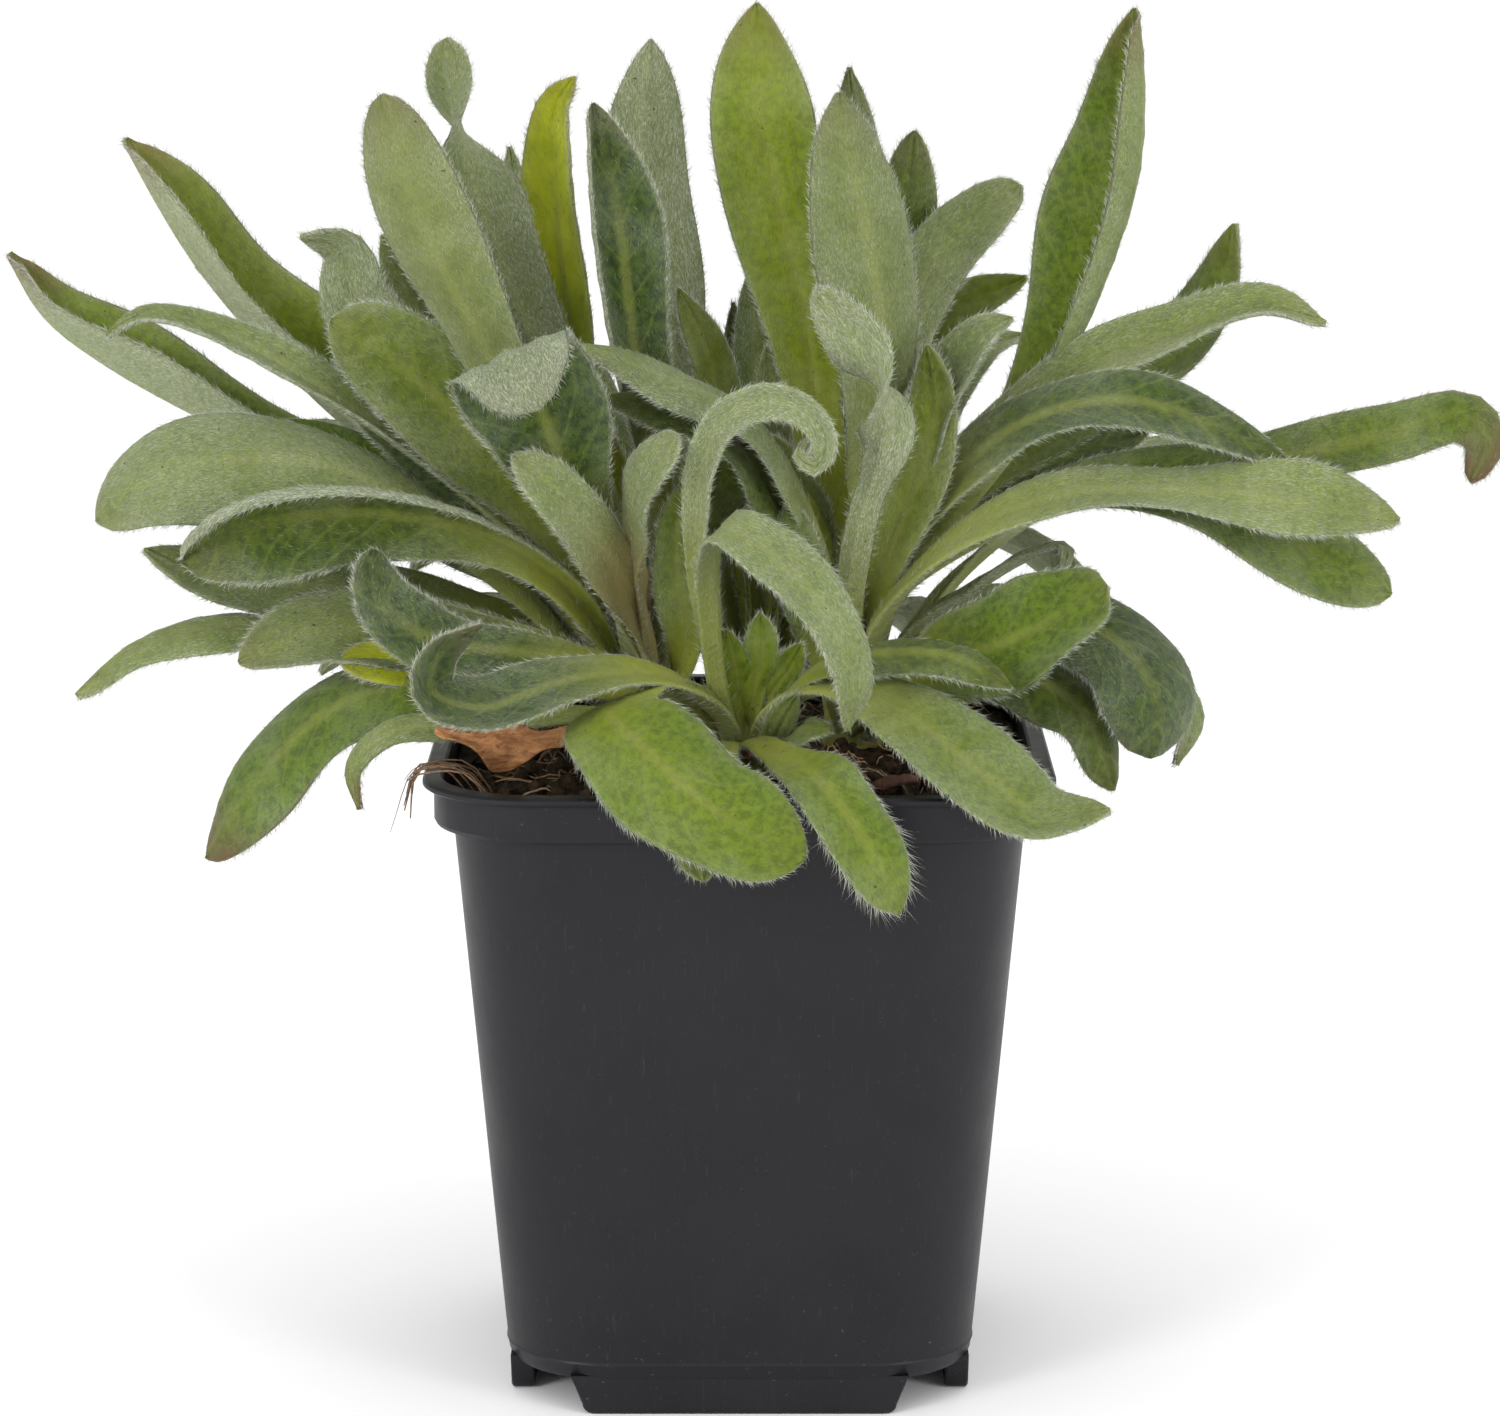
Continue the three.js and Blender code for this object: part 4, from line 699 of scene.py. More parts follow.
def margin_hairs(leaf, rng):
    """Roots and tips of the hairs that stand out from a leaf's margins."""
    roots, tips = [], []
    count = int(leaf["length"] * MARGIN_HAIRS_PER_MM)
    inner = len(columns_across()) - 2
    for edge, inside in ((0, 1), (inner + 1, inner)):
        share = rng.random(count) ** 0.8
        row = share * (ROWS - 1)
        grid = leaf["above"]
        at = on_grid(grid, row, np.full(count, float(edge)))
        out = unit(at - on_grid(grid, row, np.full(count, float(inside))))
        forward = forward_at(grid, row, np.full(count, float(edge)))
        normal = np.cross(forward, out)
        jitter = rng.normal(0, 1, (count, 2))
        along = np.interp(row, np.arange(ROWS), leaf["along"])[:, None]
        long = 1 + 1.6 * leaf["fringe"] * smoothstep(along, 0.6, 1)
        length = rng.uniform(*FRINGE_LENGTHS_MM, (count, 1)) * long
        lean = out * 0.55 + forward * (0.8 + 0.3 * jitter[:, :1]) + normal * (0.4 * jitter[:, 1:])
        roots.append(at - out * FRINGE_SUNK_MM)
        tips.append(at + unit(lean) * length)
    return np.concatenate(roots), np.concatenate(tips), rng.uniform(0.55, 1, 2 * count)


def hair_piece(name, leaves, make, material):
    """The hairs of one shoot: thin closed spikes with three sides."""
    rng = np.random.default_rng(len(name) * 7 + len(leaves))
    grown = [make(leaf, rng) for leaf in leaves]
    roots, tips, tone = (np.concatenate([part[k] for part in grown]) for k in range(3))
    count = len(roots)
    axis = unit(tips - roots)
    spare = np.where(np.abs(axis[:, 2:]) < 0.8, (0, 0, 1), (1, 0, 0))
    e1 = unit(np.cross(axis, spare))
    e2 = np.cross(axis, e1)
    radius = HAIR_RADIUS_MM * rng.uniform(0.7, 1.3, (count, 1))
    corners = [roots + radius * (math.cos(a) * e1 + math.sin(a) * e2) for a in HAIR_CORNERS_RAD]
    points = np.stack([*corners, tips], axis=1).reshape(-1, 3)
    base = 4 * np.arange(count)[:, None]
    sides = ((0, 2, 1), (0, 1, 3), (1, 2, 3), (2, 0, 3))
    faces = np.concatenate([base + order for order in sides], axis=1).reshape(-1, 3)
    piece = mesh_piece(name, points, faces.tolist(), material)
    layer = piece.data.attributes.new("tone", "FLOAT", "POINT")
    layer.data.foreach_set("value", np.repeat(tone, 4).astype(np.float32))
    by_tone, by_chance = 0.02 + 0.9 * tone / tone.max(), rng.random(count) * 0.9
    corner_places = np.stack([np.repeat(by_tone, 4), np.repeat(by_chance, 4)], -1)
    corner_places += np.tile([(0, 0), (0.006, 0), (0, 0.02), (0.006, 0.06)], (count, 1))
    bake = piece.data.uv_layers.new(name="OFBake")
    bake.uv.foreach_set("vector", corner_places[faces.ravel()].astype(np.float32).ravel())
    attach(piece, "root")


# Shader nodes

def set_inputs(node, inputs):
    """Links each named input of a node to a socket, or sets it to a value."""
    for key, value in inputs.items():
        if isinstance(value, bpy.types.NodeSocket):
            node.id_data.links.new(value, node.inputs[key])
        else:
            node.inputs[key].default_value = value


def add_node(tree, kind, inputs=None, **settings):
    node = tree.nodes.new("ShaderNode" + kind)
    for name, value in settings.items():
        setattr(node, name, value)
    set_inputs(node, inputs or {})
    return node


def arithmetic(tree, operation, a, b=0.0, clamp=False):
    return add_node(tree, "Math", {0: a, 1: b}, operation=operation, use_clamp=clamp).outputs[0]


def mixed(tree, share, a, b):
    return add_node(tree, "Mix", {0: share, 6: a, 7: b}, data_type="RGBA").outputs[2]


def scaled(tree, a, b, clamp=False):
    return arithmetic(tree, "MULTIPLY", a, b, clamp)


def ranged(tree, value, low, high, to_low=0.0, to_high=1.0):
    inputs = {"Value": value, "From Min": low, "From Max": high, "To Min": to_low, "To Max": to_high}
    return add_node(tree, "MapRange", inputs, interpolation_type="SMOOTHSTEP").outputs[0]


def attribute(tree, name, output="Fac"):
    return add_node(tree, "Attribute", attribute_name=name).outputs[output]


def noise_at(tree, vector, scale, detail=3.0, roughness=0.5, distortion=0.0):
    inputs = {"Vector": vector, "Scale": scale, "Detail": detail, "Roughness": roughness,
              "Distortion": distortion}
    return add_node(tree, "TexNoise", inputs).outputs["Fac"]


def stretched(tree, vector, scale, turn=0.0):
    inputs = {"Vector": vector, "Scale": scale, "Rotation": (0, 0, turn)}
    return add_node(tree, "Mapping", inputs).outputs[0]


def bumped(tree, height, distance_mm, strength=1.0, normal=None):
    inputs = {"Height": height, "Distance": distance_mm * MM, "Strength": strength}
    if normal is not None:
        inputs["Normal"] = normal
    return add_node(tree, "Bump", inputs).outputs[0]


def new_material(name):
    material = bpy.data.materials.new(name)
    material.use_nodes = True
    tree = material.node_tree
    shader = tree.nodes["Principled BSDF"]
    return material, tree, shader


def object_mm(tree):
    """Object coordinates in millimetres."""
    place = add_node(tree, "TexCoord").outputs["Object"]
    return stretched(tree, place, (1000, 1000, 1000))


def colour(red, green, blue):
    return (red, green, blue, 1)


def leaf_material():
    """Green tissue under a thin felt of white hairs, with paler midrib, veins and margins, the margins partly
    a painted sheen; painted shade darkens dark leaves and mottling hollows, painted light brightens petioles
    and yellow-green.
    """
    material, tree, shader = new_material("felted_leaf")
    lie = attribute(tree, "lie_mm", "Vector")
    apart = add_node(tree, "SeparateXYZ", {0: lie})
    beside = arithmetic(tree, "ABSOLUTE", apart.outputs[0])
    mirrored = add_node(tree, "CombineXYZ", {0: beside, 1: apart.outputs[1], 2: apart.outputs[2]})
    mirrored = mirrored.outputs[0]
    along, upper = attribute(tree, "along"), attribute(tree, "upper")
    felt, warm, dark = attribute(tree, "felt"), attribute(tree, "warm"), attribute(tree, "dark")
    edge = arithmetic(tree, "ABSOLUTE", attribute(tree, "across"))
    stalk = ranged(tree, along, 0.62, 0.27)

    patches = noise_at(tree, lie, 0.11, 2, 0.5, 0.4)
    cells = noise_at(tree, lie, 0.8, 4, 0.6)
    grain = noise_at(tree, lie, 3.2, 3, 0.65)
    streaks = noise_at(tree, stretched(tree, mirrored, (9, 1.3, 1), 0.4), 1.0, 2, 0.6, 0.5)
    crossing = noise_at(tree, stretched(tree, mirrored, (9, 1.5, 1), -0.6), 1.0, 2, 0.6, 0.5)
    fibres = arithmetic(tree, "MAXIMUM", streaks, crossing)
    strands = ranged(tree, fibres, 0.46, 0.72)

    # Tissue greens, darker where the leaf's dark look is high: partly its own darker green, partly painted
    # shade
    deep = mixed(tree, dark, colour(0.058, 0.105, 0.003), colour(0.015, 0.036, 0.002))
    light = mixed(tree, dark, colour(0.115, 0.185, 0.006), colour(0.05, 0.09, 0.005))
    # Mottling by the noise that also bumps the surface: darker green in its hollows, lighter on the raised
    # cells, partly the leaf's own tone and partly painted shade in the hollows
    tissue = mixed(tree, ranged(tree, cells, 0.36, 0.62), deep, light)
    near_rib = scaled(tree, ranged(tree, beside, 5, 0.5), 0.04)
    yellow = arithmetic(tree, "ADD", warm, near_rib, clamp=True)
    yellow = scaled(tree, yellow, ranged(tree, patches, 0.25, 0.7, 0.55, 1.0))
    # Yellow-green tissue, made paler than the tissue's own so that leaves lying in shade still read bright:
    # partly painted light
    tissue = mixed(tree, yellow, tissue, colour(0.5, 0.55, 0.01))
    # Yellow-green petioles, made paler than their own colour to make up for the shade in the heart of the
    # plant and for light that passes through them: painted light
    tissue = mixed(tree, scaled(tree, stalk, 0.8), tissue, colour(0.32, 0.35, 0.03))
    tissue = mixed(tree, ranged(tree, upper, 0.6, 0.2, 0, 0.35), tissue, colour(0.175, 0.21, 0.045))

    rib = ranged(tree, beside, 1.4, 0.2)
    rib = scaled(tree, rib, ranged(tree, along, 1.0, 0.7))
    tissue = mixed(tree, scaled(tree, rib, 0.42), tissue, colour(0.26, 0.285, 0.05))
    slant = arithmetic(tree, "SUBTRACT", apart.outputs[1], scaled(tree, beside, VEIN_SLANT))
    slant = arithmetic(tree, "ADD", slant, scaled(tree, patches, 5.0))
    wave = arithmetic(tree, "SINE", scaled(tree, slant, 2 * math.pi / VEIN_SPACING_MM))
    vein = scaled(tree, ranged(tree, wave, 0.85, 1.0), ranged(tree, along, 0.35, 0.6))
    tissue = mixed(tree, scaled(tree, vein, 0.2), tissue, colour(0.21, 0.25, 0.05))
    husk = scaled(tree, attribute(tree, "withered"), ranged(tree, along, 0.8, 0.5))
    tissue = mixed(tree, husk, tissue, colour(0.3, 0.22, 0.075))

    cover = arithmetic(tree, "ADD", felt, ranged(tree, patches, 0.3, 0.7, -0.12, 0.12))
    # Towards the margins the felt grows denser; the paler strip along the very edge is partly the denser
    # fringe and partly a painted sheen of hairs seen edge-on
    cover = arithmetic(tree, "ADD", cover, ranged(tree, edge, 0.35, 0.95, -0.04, 0.12))
    cover = arithmetic(tree, "ADD", cover, ranged(tree, edge, 0.9, 1.0, 0, 0.4))
    bare = arithmetic(tree, "MAXIMUM", scaled(tree, stalk, 0.65), husk)
    cover = scaled(tree, cover, ranged(tree, bare, 0, 1, 1, 0.15), clamp=True)
    veil = scaled(tree, cover, ranged(tree, strands, 0, 1, 0.55, 1.15))
    veil = scaled(tree, veil, ranged(tree, grain, 0.3, 0.7, 0.78, 1.12), clamp=True)
    wool = mixed(tree, strands, colour(0.235, 0.265, 0.175), colour(0.48, 0.51, 0.4))
    surface = mixed(tree, veil, tissue, wool)

    tip = scaled(tree, ranged(tree, along, 0.88, 1.0), ranged(tree, edge, 0.2, 1.0, 0.5, 1.0))
    rim = scaled(tree, ranged(tree, edge, 0.9, 1.0), ranged(tree, along, 0.6, 0.9))
    brown = arithmetic(tree, "MAXIMUM", tip, scaled(tree, rim, 0.6))
    brown = scaled(tree, brown, attribute(tree, "rust"))
    brown = scaled(tree, brown, ranged(tree, cells, 0.25, 0.6, 0.5, 1.1), clamp=True)
    surface = mixed(tree, brown, surface, colour(0.13, 0.06, 0.035))
    specks = ranged(tree, noise_at(tree, lie, 1.4, 1, 0.4), 0.77, 0.8)
    surface = mixed(tree, scaled(tree, specks, 0.8), surface, colour(0.02, 0.014, 0.008))

    relief = bumped(tree, wave, 0.12, 0.4)
    relief = bumped(tree, cells, 0.3, 0.5, relief)
    set_inputs(shader, {
        "Base Color": surface,
        "Normal": bumped(tree, fibres, 0.3, 0.9, relief),
        "Roughness": ranged(tree, veil, 0, 1, 0.5, 0.85),
        "Specular IOR Level": 0.3,
        "Sheen Weight": 0.1,
        "Sheen Roughness": 0.4,
        "Sheen Tint": colour(0.9, 0.93, 0.8),
        "Subsurface Weight": 0.1,
        "Subsurface Radius": (1.0, 1.1, 0.35),
        "Subsurface Scale": 0.6 * MM,
    })
    return material


def hair_material():
    material, tree, shader = new_material("leaf_hairs")
    tint = mixed(tree, attribute(tree, "tone"), colour(0.11, 0.16, 0.02), colour(0.6, 0.62, 0.53))
    set_inputs(shader, {"Base Color": tint, "Roughness": 0.5, "Specular IOR Level": 0.4})
    return material


def plastic_material():
    """Anthracite moulded plastic with a fine grain, faint upright scuffs and dust near rim and foot."""
    material, tree, shader = new_material("pot_plastic")
    place = object_mm(tree)
    height = add_node(tree, "SeparateXYZ", {0: place}).outputs[2]
    cloud = noise_at(tree, place, 0.06, 4, 0.6)
    scuffs = noise_at(tree, stretched(tree, place, (2.4, 2.4, 0.09)), 1.0, 4, 0.7)
    grain = noise_at(tree, place, 3.5, 2, 0.6)
    clouds = ranged(tree, cloud, 0.3, 0.7)
    base = mixed(tree, clouds, colour(0.0035, 0.0034, 0.0056), colour(0.006, 0.0058, 0.0088))
    lines = scaled(tree, ranged(tree, scuffs, 0.6, 0.74), 0.28)
    base = mixed(tree, lines, base, colour(0.06, 0.06, 0.068))
    near_ends = arithmetic(tree, "MAXIMUM", ranged(tree, height, 30, 4), ranged(tree, height, 84, 94))
    dust = ranged(tree, noise_at(tree, place, 1.1, 3, 0.7), 0.66, 0.74)
    dust = scaled(tree, dust, ranged(tree, near_ends, 0, 1, 0.12, 0.5))
    base = mixed(tree, dust, base, colour(0.16, 0.13, 0.1))
    roughness = ranged(tree, cloud, 0.3, 0.7, 0.4, 0.5)
    roughness = arithmetic(tree, "ADD", roughness, scaled(tree, lines, 0.5))
    roughness = arithmetic(tree, "ADD", roughness, scaled(tree, dust, 0.4))
    relief = bumped(tree, grain, 0.03, 0.7)
    relief = bumped(tree, scuffs, 0.03, 0.5, relief)
    relief = bumped(tree, noise_at(tree, place, 0.12, 2), 0.5, 0.35, relief)
    set_inputs(shader, {"Base Color": base, "Roughness": roughness, "Normal": relief,
                        "Specular IOR Level": 0.32})
    return material


def peat_material():
    material, tree, shader = new_material("peat")
    place = object_mm(tree)
    coarse = noise_at(tree, place, 0.5, 5, 0.7)
    fine = noise_at(tree, place, 2.6, 4, 0.7)
    clouds = ranged(tree, coarse, 0.35, 0.65)
    shade = mixed(tree, clouds, colour(0.014, 0.0095, 0.006), colour(0.065, 0.039, 0.02))
    shade = mixed(tree, ranged(tree, fine, 0.58, 0.72), shade, colour(0.17, 0.105, 0.055))
    relief = bumped(tree, fine, 0.4, 0.9, bumped(tree, coarse, 0.9, 0.8))
    roughness = ranged(tree, fine, 0.3, 0.7, 0.8, 0.98)
    set_inputs(shader, {"Base Color": shade, "Roughness": roughness, "Normal": relief,
                        "Specular IOR Level": 0.25})
    return material


def woody_material(name, low, high, streak):
    """Dry plant matter: two browns mixed along the grain, rough and slightly cracked."""
    material, tree, shader = new_material(name)
    place = object_mm(tree)
    grain = noise_at(tree, stretched(tree, place, streak), 1.0, 5, 0.65, 0.5)
    spots = noise_at(tree, place, 1.7, 3, 0.6)
    shade = mixed(tree, ranged(tree, grain, 0.3, 0.7), low, high)
    stained = scaled(tree, ranged(tree, spots, 0.6, 0.7), 0.6)
    shade = mixed(tree, stained, shade, colour(0.04, 0.02, 0.012))
    roughness = ranged(tree, grain, 0.3, 0.7, 0.65, 0.9)
    set_inputs(shader, {"Base Color": shade, "Roughness": roughness, "Normal": bumped(tree, grain, 0.3, 0.8)})
    return material


def floor_material():
    material, _, shader = new_material("floor")
    set_inputs(shader, {"Base Color": colour(0.95, 0.95, 0.95), "Roughness": 0.9, "Specular IOR Level": 0.1})
    return material


# Pot

def rounded_square(half_width, radius, height, side_steps=1):
    """A square with round corners, seen from above, run anticlockwise."""
    points = []
    for corner in range(4):
        centre_x = (half_width - radius) * (1 if corner in (0, 3) else -1)
        centre_y = (half_width - radius) * (1 if corner < 2 else -1)
        arc = []
        for step in range(CORNER_STEPS + 1):
            angle = (corner + step / CORNER_STEPS) * math.pi / 2
            x, y = centre_x + radius * math.cos(angle), centre_y + radius * math.sin(angle)
            arc.append(np.array([x, y, height]))
        points.extend(arc)
        ahead = Matrix.Rotation(math.pi / 2, 3, "Z") @ Vector(arc[0])
        for step in range(1, side_steps):
            points.append(arc[-1] + (np.array(ahead) - arc[-1]) * step / side_steps)
    return np.array(points)


def loft(rings):
    """Points and faces of a closed solid through rings of equally many points."""
    count = len(rings[0])
    faces = []
    for row in range(len(rings) - 1):
        for i in range(count):
            a, b = row * count + i, row * count + (i + 1) % count
            faces.append((a, b, b + count, a + count))
    hub = len(rings) * count
    top = (len(rings) - 1) * count
    for i in range(count):
        j = (i + 1) % count
        faces.append((hub, j, i))
        faces.append((hub + 1, top + i, top + j))
    points = np.concatenate([*rings, [rings[0].mean(0), rings[-1].mean(0)]])
    return points, faces


def body_half_width(height):
    rise = (height - TAB_HEIGHT_MM) / (POT_HEIGHT_MM - BAND_HEIGHT_MM - TAB_HEIGHT_MM)
    return BODY_FOOT_HALF_WIDTH_MM + (BODY_TOP_HALF_WIDTH_MM - BODY_FOOT_HALF_WIDTH_MM) * rise


def pot_profile():
    """Half-width, corner radius and height of each ring, from the underside up and down the inside."""
    edge, top = EDGE_ROUND_MM, POT_HEIGHT_MM
    neck, lip_foot = top - BAND_HEIGHT_MM, top - LIP_THICKNESS_MM
    foot, body = BODY_FOOT_HALF_WIDTH_MM, BODY_TOP_HALF_WIDTH_MM
    band, lip = BAND_HALF_WIDTH_MM, LIP_HALF_WIDTH_MM
    inside, floor = band - POT_WALL_MM, TAB_HEIGHT_MM + POT_FLOOR_MM
    line = PARTING_LINE_MM
    underside = [(foot - 1.3, TAB_HEIGHT_MM), (foot - 0.5, TAB_HEIGHT_MM + 0.2)]
    outer = [
        (foot, TAB_HEIGHT_MM + 1),
        (body_half_width(line - 0.25), line - 0.25),
        (body_half_width(line) + 0.14, line),
        (body_half_width(line + 0.25), line + 0.25),
        (body_half_width(line + 0.3), line + 0.5),
        *((body_half_width(z), z) for z in np.linspace(12, neck - 1, 9)),
        (body, neck - 0.1),
        (body + 0.3, neck),
        (band - 0.9, neck),
        (band - 0.3, neck + 0.25),
        (band, neck + 0.9),
        (band, lip_foot - edge),
        (band + edge, lip_foot),
        (lip - edge, lip_foot),
        (lip, lip_foot + edge),
        (lip, top - edge),
        (lip - edge, top),
    ]
    inner = [
        (inside + edge, top),
        (inside, top - edge),
        (inside, neck + POT_WALL_MM),
        (body - POT_WALL_MM, neck),
        (body_half_width(floor) - POT_WALL_MM, floor),
    ]
    corner = POT_CORNER_RADIUS_MM
    outline = [(width, corner - (foot - width), z) for width, z in underside]
    outline += [(width, corner, z) for width, z in outer]
    outline += [(width, corner - POT_WALL_MM, z) for width, z in inner]
    return outline


def foot_tab(side):
    """One foot: a flat tab under the middle of a side, with round lower corners and soft edges."""
    round_steps = np.linspace(0, math.pi / 2, 6)
    outline = [(-TAB_TOP_HALF_WIDTH_MM, TAB_HEIGHT_MM + TAB_SUNK_MM)]
    centre = TAB_FOOT_HALF_WIDTH_MM - TAB_ROUND_MM
    for a in round_steps:
        outline.append((-centre - TAB_ROUND_WIDTH_MM * math.cos(a), TAB_ROUND_MM * (1 - math.sin(a))))
    for a in round_steps:
        outline.append((centre + TAB_ROUND_WIDTH_MM * math.sin(a), TAB_ROUND_MM * (1 - math.cos(a))))
    outline += [(TAB_TOP_HALF_WIDTH_MM, TAB_HEIGHT_MM + TAB_SUNK_MM)]
    front = -BODY_FOOT_HALF_WIDTH_MM + TAB_INSET_MM
    turn = Matrix.Rotation(side * math.pi / 2, 3, "Z")
    middle = np.array([0, 3])
    rings = []
    for depth, shrink in ((0, 0.25), (0.25, 0), (TAB_THICKNESS_MM - 0.25, 0), (TAB_THICKNESS_MM, 0.25)):
        flat = np.array(outline)
        flat = flat - shrink * np.sign(flat - middle) * (flat[:, 1:] < TAB_HEIGHT_MM)
        ring = [turn @ Vector((x, front + depth, max(z, 0))) for x, z in flat]
        rings.append(np.array(ring)[::-1])
    return loft(rings)


def drain_cutter(x, y):
    angles = np.linspace(0, 2 * math.pi, 33)[:-1]
    ring = (x + DRAIN_RADIUS_MM * np.cos(angles), y + DRAIN_RADIUS_MM * np.sin(angles), 0 * angles)
    circle = np.stack(ring, -1)
    return loft([circle + (0, 0, z) for z in (TAB_HEIGHT_MM - 2, TAB_HEIGHT_MM + POT_FLOOR_MM + 2)])


def cut_or_join(piece, others, operation):
    """Applies one boolean of the others on the piece and removes them."""
    for other in others:
        modifier = piece.modifiers.new(operation, "BOOLEAN")
        modifier.operation = operation
        modifier.solver = "EXACT"
        modifier.object = other
    graph = bpy.context.evaluated_depsgraph_get()
    mesh = bpy.data.meshes.new_from_object(piece.evaluated_get(graph))
    piece.modifiers.clear()
    piece.data = mesh
    for other in others:
        bpy.data.objects.remove(other)


def pot_piece():
    plastic = plastic_material()
    rings = [rounded_square(*ring) for ring in pot_profile()]
    piece = mesh_piece("pot_shell", *loft(rings), plastic)
    tabs = [mesh_piece("tab", *foot_tab(side), plastic) for side in range(4)]
    cut_or_join(piece, tabs, "UNION")
    places = [(0, 0)] + [(x * DRAIN_OFFSET_MM, y * DRAIN_OFFSET_MM) for x in (-1, 1) for y in (-1, 1)]
    drills = [mesh_piece("drill", *drain_cutter(x, y), plastic) for x, y in places]
    cut_or_join(piece, drills, "DIFFERENCE")
    piece.data.set_sharp_from_angle(angle=math.radians(32))
    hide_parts("pot")
    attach(piece, "root")


# Soil and what lies on it

def soil_height(x, y, inward):
    lumps = math.sin(x * 0.31 + 1.2) * math.cos(y * 0.27) + 0.6 * math.sin(x * 0.57 + y * 0.49)
    heap = SOIL_HEAP_MM * math.sin(inward * math.pi / 2)
    return SOIL_EDGE_HEIGHT_MM + heap + SOIL_LUMP_MM * lumps * inward


def rough_soil_height(x, y, inward):
    """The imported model's height with crumbs on it."""
    crumbs = noise.fractal(Vector((x, y, 0)) * 0.35, 0.6, 2.1, 5)
    crumbs = crumbs + 0.6 * noise.noise(Vector((x, y, 7)) * 1.1)
    return soil_height(x, y, inward) + SOIL_GRAIN_MM * crumbs


def soil_piece(material):
    clear = POT_WALL_MM + SOIL_GAP_MM
    foot = TAB_HEIGHT_MM + POT_FLOOR_MM + SOIL_GAP_MM
    neck = POT_HEIGHT_MM - BAND_HEIGHT_MM
    radius = POT_CORNER_RADIUS_MM - clear
    edge = BAND_HALF_WIDTH_MM - clear
    rings = [
        rounded_square(body_half_width(foot) - clear, radius, foot, SOIL_SIDE_STEPS),
        rounded_square(BODY_TOP_HALF_WIDTH_MM - clear, radius, neck, SOIL_SIDE_STEPS),
    ]
    for ring in range(SOIL_RINGS):
        inward = ring / SOIL_RINGS
        points = rounded_square(edge * (1 - inward), radius * (1 - inward), 0, SOIL_SIDE_STEPS)
        for point in points:
            point[2] = rough_soil_height(point[0], point[1], inward)
        rings.append(points)
    piece = mesh_piece("soil_bed", *loft(rings), material)
    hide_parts("soil")
    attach(piece, "root")


def soil_top_at(x, y):
    edge = BAND_HALF_WIDTH_MM - POT_WALL_MM - SOIL_GAP_MM
    inward = 1 - min(max(abs(x), abs(y)) / edge, 1)
    return rough_soil_height(x, y, inward)


def past_corner(x, y):
    """How far a place lies out in one of the pot's round corners."""
    return math.hypot(max(abs(x) - STREWN_CORNER_MM, 0), max(abs(y) - STREWN_CORNER_MM, 0))


def clod_piece(material):
    """Crumbs of peat: rough lumps half sunk in the soil, more of them towards the edge."""
    rng = np.random.default_rng(11)
    ball = bpy.data.meshes.new("ball")
    shape = bmesh.new()
    bmesh.ops.create_icosphere(shape, subdivisions=1, radius=1)
    shape.to_mesh(ball)
    shape.free()
    unit_points = np.array([v.co for v in ball.vertices])
    unit_faces = [tuple(p.vertices) for p in ball.polygons]
    bpy.data.meshes.remove(ball)
    points, faces = [], []
    for _ in range(CLODS):
        x, y = rng.uniform(-CLOD_REACH_MM, CLOD_REACH_MM, 2)
        size = rng.uniform(0.35, 1.0) ** 2 * CLOD_RADIUS_MM
        if past_corner(x, y) > CLOD_CORNER_MM:
            continue
        lump = unit_points * rng.uniform(0.6, 1.25, (len(unit_points), 1))
        lump = lump * (size * rng.uniform(0.6, 1.2, 3))
        lump = lump + (x, y, soil_top_at(x, y) + size * 0.25)
        faces.extend(tuple(len(points) * len(unit_points) + i for i in face) for face in unit_faces)
        points.append(lump)
    piece = mesh_piece("soil_clods", np.concatenate(points), faces, material, smooth=False)
    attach(piece, "root")


def strand_rings(points, radius):
    """Rings of a thin strand along a list of points, tapering to its ends."""
    points, tangents, _ = along_spline(points, np.linspace(0, 1, 9))
    sides = carried_sides(points + (1e-3, 0, 0), tangents)
    uppers = np.cross(tangents, sides)
    angles = np.arange(5) * 2 * math.pi / 5
    taper = 0.35 + 0.65 * np.sin(np.linspace(0.25, math.pi - 0.25, len(points)))
    return np.array([
        [point + radius * thin * (math.cos(a) * side - math.sin(a) * upper) for a in angles]
        for point, side, upper, thin in zip(points, sides, uppers, taper)])


def strands_piece(name, strands, material):
    points, faces = [], []
    count = 0
    for route, radius in strands:
        strand_points, strand_faces = loft(strand_rings(route, radius))
        faces.extend(tuple(count + i for i in face[::-1]) for face in strand_faces)
        points.append(strand_points)
        count += len(strand_points)
    piece = mesh_piece(name, np.concatenate(points), faces, material)
    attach(piece, "root")


def fibre_strands():
    """Short tan fibres strewn over the soil, each one a loose curve."""
    rng = np.random.default_rng(23)
    strands = []
    for _ in range(FIBRES):
        x, y = rng.uniform(-FIBRE_REACH_MM, FIBRE_REACH_MM, 2)
        if past_corner(x, y) > FIBRE_CORNER_MM:
            continue
        heading, length = rng.uniform(0, 2 * math.pi), rng.uniform(*FIBRE_LENGTHS_MM)
        route = []
        for step in range(5):
            height = soil_top_at(x, y) + rng.uniform(0.1, 0.7)
            arch = 1.2 if step in (2, 3) else 0
            route.append((x, y, height + arch * rng.random()))
            heading += rng.normal(0, 0.5)
            x = min(max(x + math.cos(heading) * length / 4, -FIBRE_LIMIT_MM), FIBRE_LIMIT_MM)
            y = min(max(y + math.sin(heading) * length / 4, -FIBRE_LIMIT_MM), FIBRE_LIMIT_MM)
        strands.append((route, rng.uniform(*STRAND_RADII_MM)))
    return strands


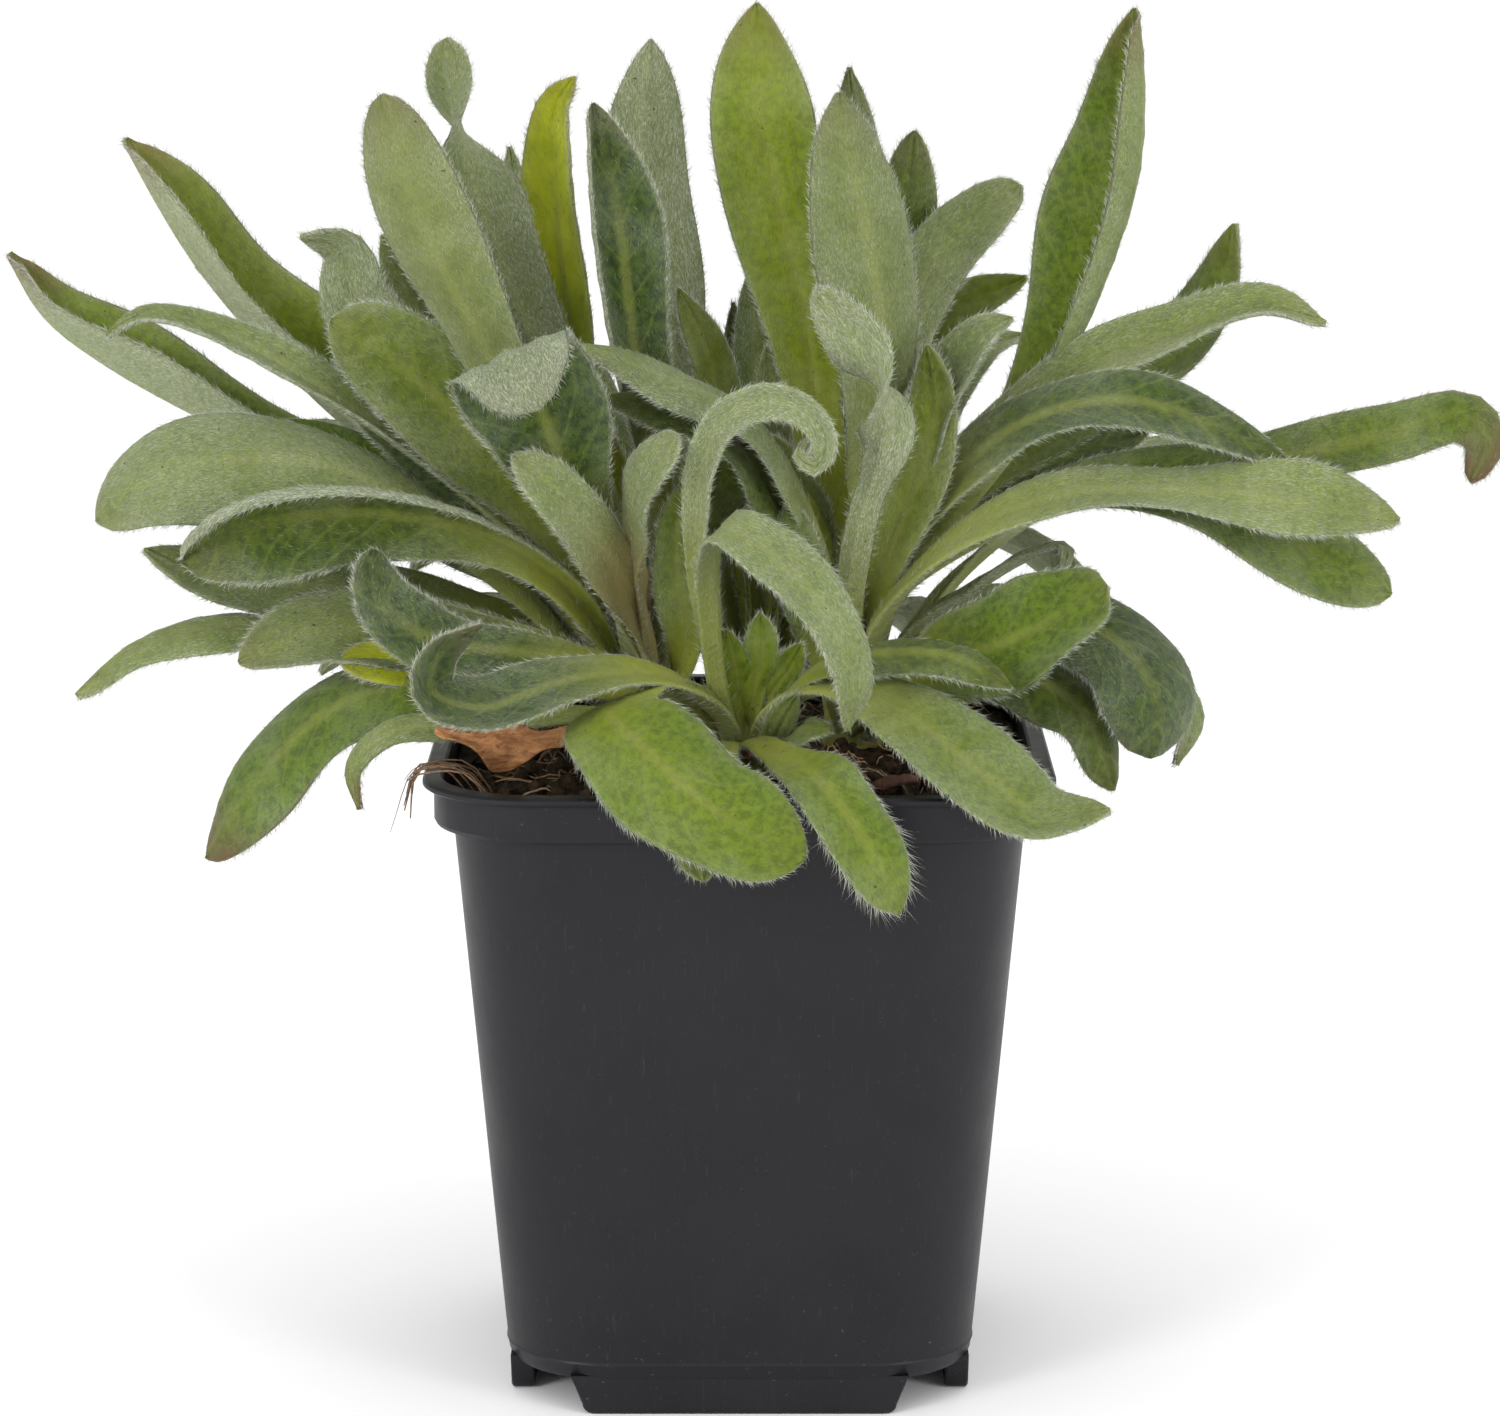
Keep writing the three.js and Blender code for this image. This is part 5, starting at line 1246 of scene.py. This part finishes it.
def lip_root_strands():
    """The tangle of roots and fibres that hangs over the lip at the left."""
    rng = np.random.default_rng(5)
    strands = []
    for _ in range(LIP_ROOTS):
        y = rng.uniform(-38, -26)
        start = rng.uniform(-42, -38)
        out = rng.uniform(45.5, 50)
        drop = rng.uniform(86, 94)
        route = [(start + 4, y + rng.normal(0, 1), 91),
                 (start, y, 94.5 + rng.uniform(0, 1.5)),
                 (-45.5, y + rng.normal(0, 1.5), 95 + rng.uniform(-0.2, 1.5)),
                 (-out, y + rng.normal(0, 2), drop)]
        strands.append((route, rng.uniform(*STRAND_RADII_MM)))
    return strands


def lying_leaf(name, route, width, shape, seed, material, node=None):
    """A dead leaf or scrap, made as the living ones are."""
    body = LeafMesh(cells=1)
    body.add_leaf(leaf_surface(route, width, "tan", shape, seed))
    piece = body.build(name, material)
    if node:
        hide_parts(node)
    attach(piece, "root")


def bark_piece(material):
    """A split strip of bark: a slightly bent, ragged sliver."""
    rng = np.random.default_rng(3)
    length, width, thick = BARK_SIZE_MM
    last, sides = BARK_ROWS - 1, BARK_SIDES
    angles = np.arange(sides) * 2 * math.pi / sides
    rings = []
    for row in range(BARK_ROWS):
        share = row / last
        x = (share - 0.5) * length
        narrow = 0.55 + 0.45 * math.sin(math.pi * min(max(share, 0.08), 0.92)) ** 0.6
        rough = 1 + 0.14 * rng.normal(0, 1, sides)
        ring = np.stack([np.full(sides, x) + 0.25 * rng.normal(0, 1, sides) * (row in (0, last)),
                         -width / 2 * narrow * np.cos(angles) * rough,
                         thick / 2 * np.sin(angles) * rough + 0.4 * math.sin(3 * share)], -1)
        rings.append(ring)
    points, faces = loft(rings)
    turn = Matrix.Rotation(BARK_TURN_RAD, 3, "Z") @ Matrix.Rotation(BARK_TILT_RAD, 3, "Y")
    points = points @ np.array(turn).T + BARK_PLACE_MM
    piece = mesh_piece("bark_sliver", points, faces, material)
    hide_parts("bark_strip")
    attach(piece, "root")


# Studio

def studio():
    reach = FLOOR_HALF_WIDTH_MM
    corners = [(-reach, -reach, 0), (reach, -reach, 0), (reach, reach, 0), (-reach, reach, 0)]
    floor = mesh_piece("floor", corners, [(0, 1, 2, 3)], floor_material())
    world = bpy.data.worlds.new("studio")
    world.use_nodes = True
    tree = world.node_tree
    direction = add_node(tree, "TexCoord").outputs["Generated"]
    up = add_node(tree, "SeparateXYZ", {0: direction}).outputs[2]
    inputs = {"Value": up, "To Min": SKY_BELOW, "To Max": SKY_ABOVE}
    strength = add_node(tree, "MapRange", inputs)
    set_inputs(tree.nodes["Background"], {0: colour(1, 1, 1), 1: strength.outputs[0]})
    bpy.context.scene.world = world
    for name, place, size, power in LIGHTS:
        lamp = bpy.data.lights.new(name, "AREA")
        lamp.shape = "DISK"
        lamp.size = size
        lamp.energy = power
        light = bpy.data.objects.new(name, lamp)
        light.location = place
        aim = Vector(LIGHT_AIM_M) - Vector(place)
        light.rotation_euler = aim.to_track_quat("-Z", "Y").to_euler()
        bpy.context.scene.collection.objects.link(light)


def camera():
    tilt = math.radians(CAMERA_ELEVATION_DEG)
    back = Vector((0, -math.cos(tilt), math.sin(tilt)))
    lens = bpy.data.cameras.new("camera")
    lens.sensor_fit = "HORIZONTAL"
    lens.sensor_width = SENSOR_WIDTH_MM
    lens.lens = FOCAL_LENGTH_PX / PHOTO_WIDTH_PX * SENSOR_WIDTH_MM
    view = bpy.data.objects.new("camera", lens)
    view.location = (Vector(AIM_POINT_MM) + back * CAMERA_DISTANCE_MM) * MM
    view.rotation_euler = back.to_track_quat("Z", "Y").to_euler()
    bpy.context.scene.collection.objects.link(view)
    bpy.context.scene.camera = view


# The model

camera()
studio()
bpy.context.scene.view_settings.view_transform = "Standard"

pot_piece()
peat = peat_material()
soil_piece(peat)
clod_piece(peat)
tan_fibre = woody_material("fibre", colour(0.2, 0.12, 0.06), colour(0.42, 0.28, 0.15), (1, 1, 1))
strands_piece("soil_fibres", fibre_strands(), tan_fibre)
strands_piece("lip_roots", lip_root_strands(), woody_material(
    "root", colour(0.08, 0.045, 0.025), colour(0.25, 0.15, 0.08), (1, 1, 1)))

felt = leaf_material()
hairs = hair_material()
for number, (node, leaf_list) in enumerate(SHOOTS.items()):
    grown = [leaf_surface(rooted(CROWNS_MM[node], route), width, look, shape, 100 * number + index)
             for index, (route, width, look, shape) in enumerate(leaf_list)]
    shoot_piece(node, grown, felt)
    hair_piece(node + "_hairs", grown, surface_hairs, hairs)
    hair_piece(node + "_fringe", grown, margin_hairs, hairs)

dead = woody_material("withered", colour(0.2, 0.07, 0.02), colour(0.5, 0.24, 0.09), (0.5, 0.5, 1.5))
lying_leaf("withered_leaf", DEAD_LEAF_ROUTE_MM, 6.5,
           dict(cup=-25, wave=0.9, petiole=0.5, faces=(0.1, -0.6, 0.7)), 900, dead, "dead_leaf")
lying_leaf("withered_scrap", DEAD_SCRAP_ROUTE_MM, 5,
           dict(cup=50, wave=0.4, petiole=0.6, blunt=1, faces=(-0.2, -0.8, 0.5)), 901, dead)
lying_leaf("withered_crumb", DEAD_CRUMB_ROUTE_MM, 3.5, dict(cup=60, wave=0.3, petiole=0.6), 902, dead)
bark_piece(woody_material("bark", colour(0.06, 0.022, 0.012), colour(0.2, 0.08, 0.045), (3, 3, 3)))
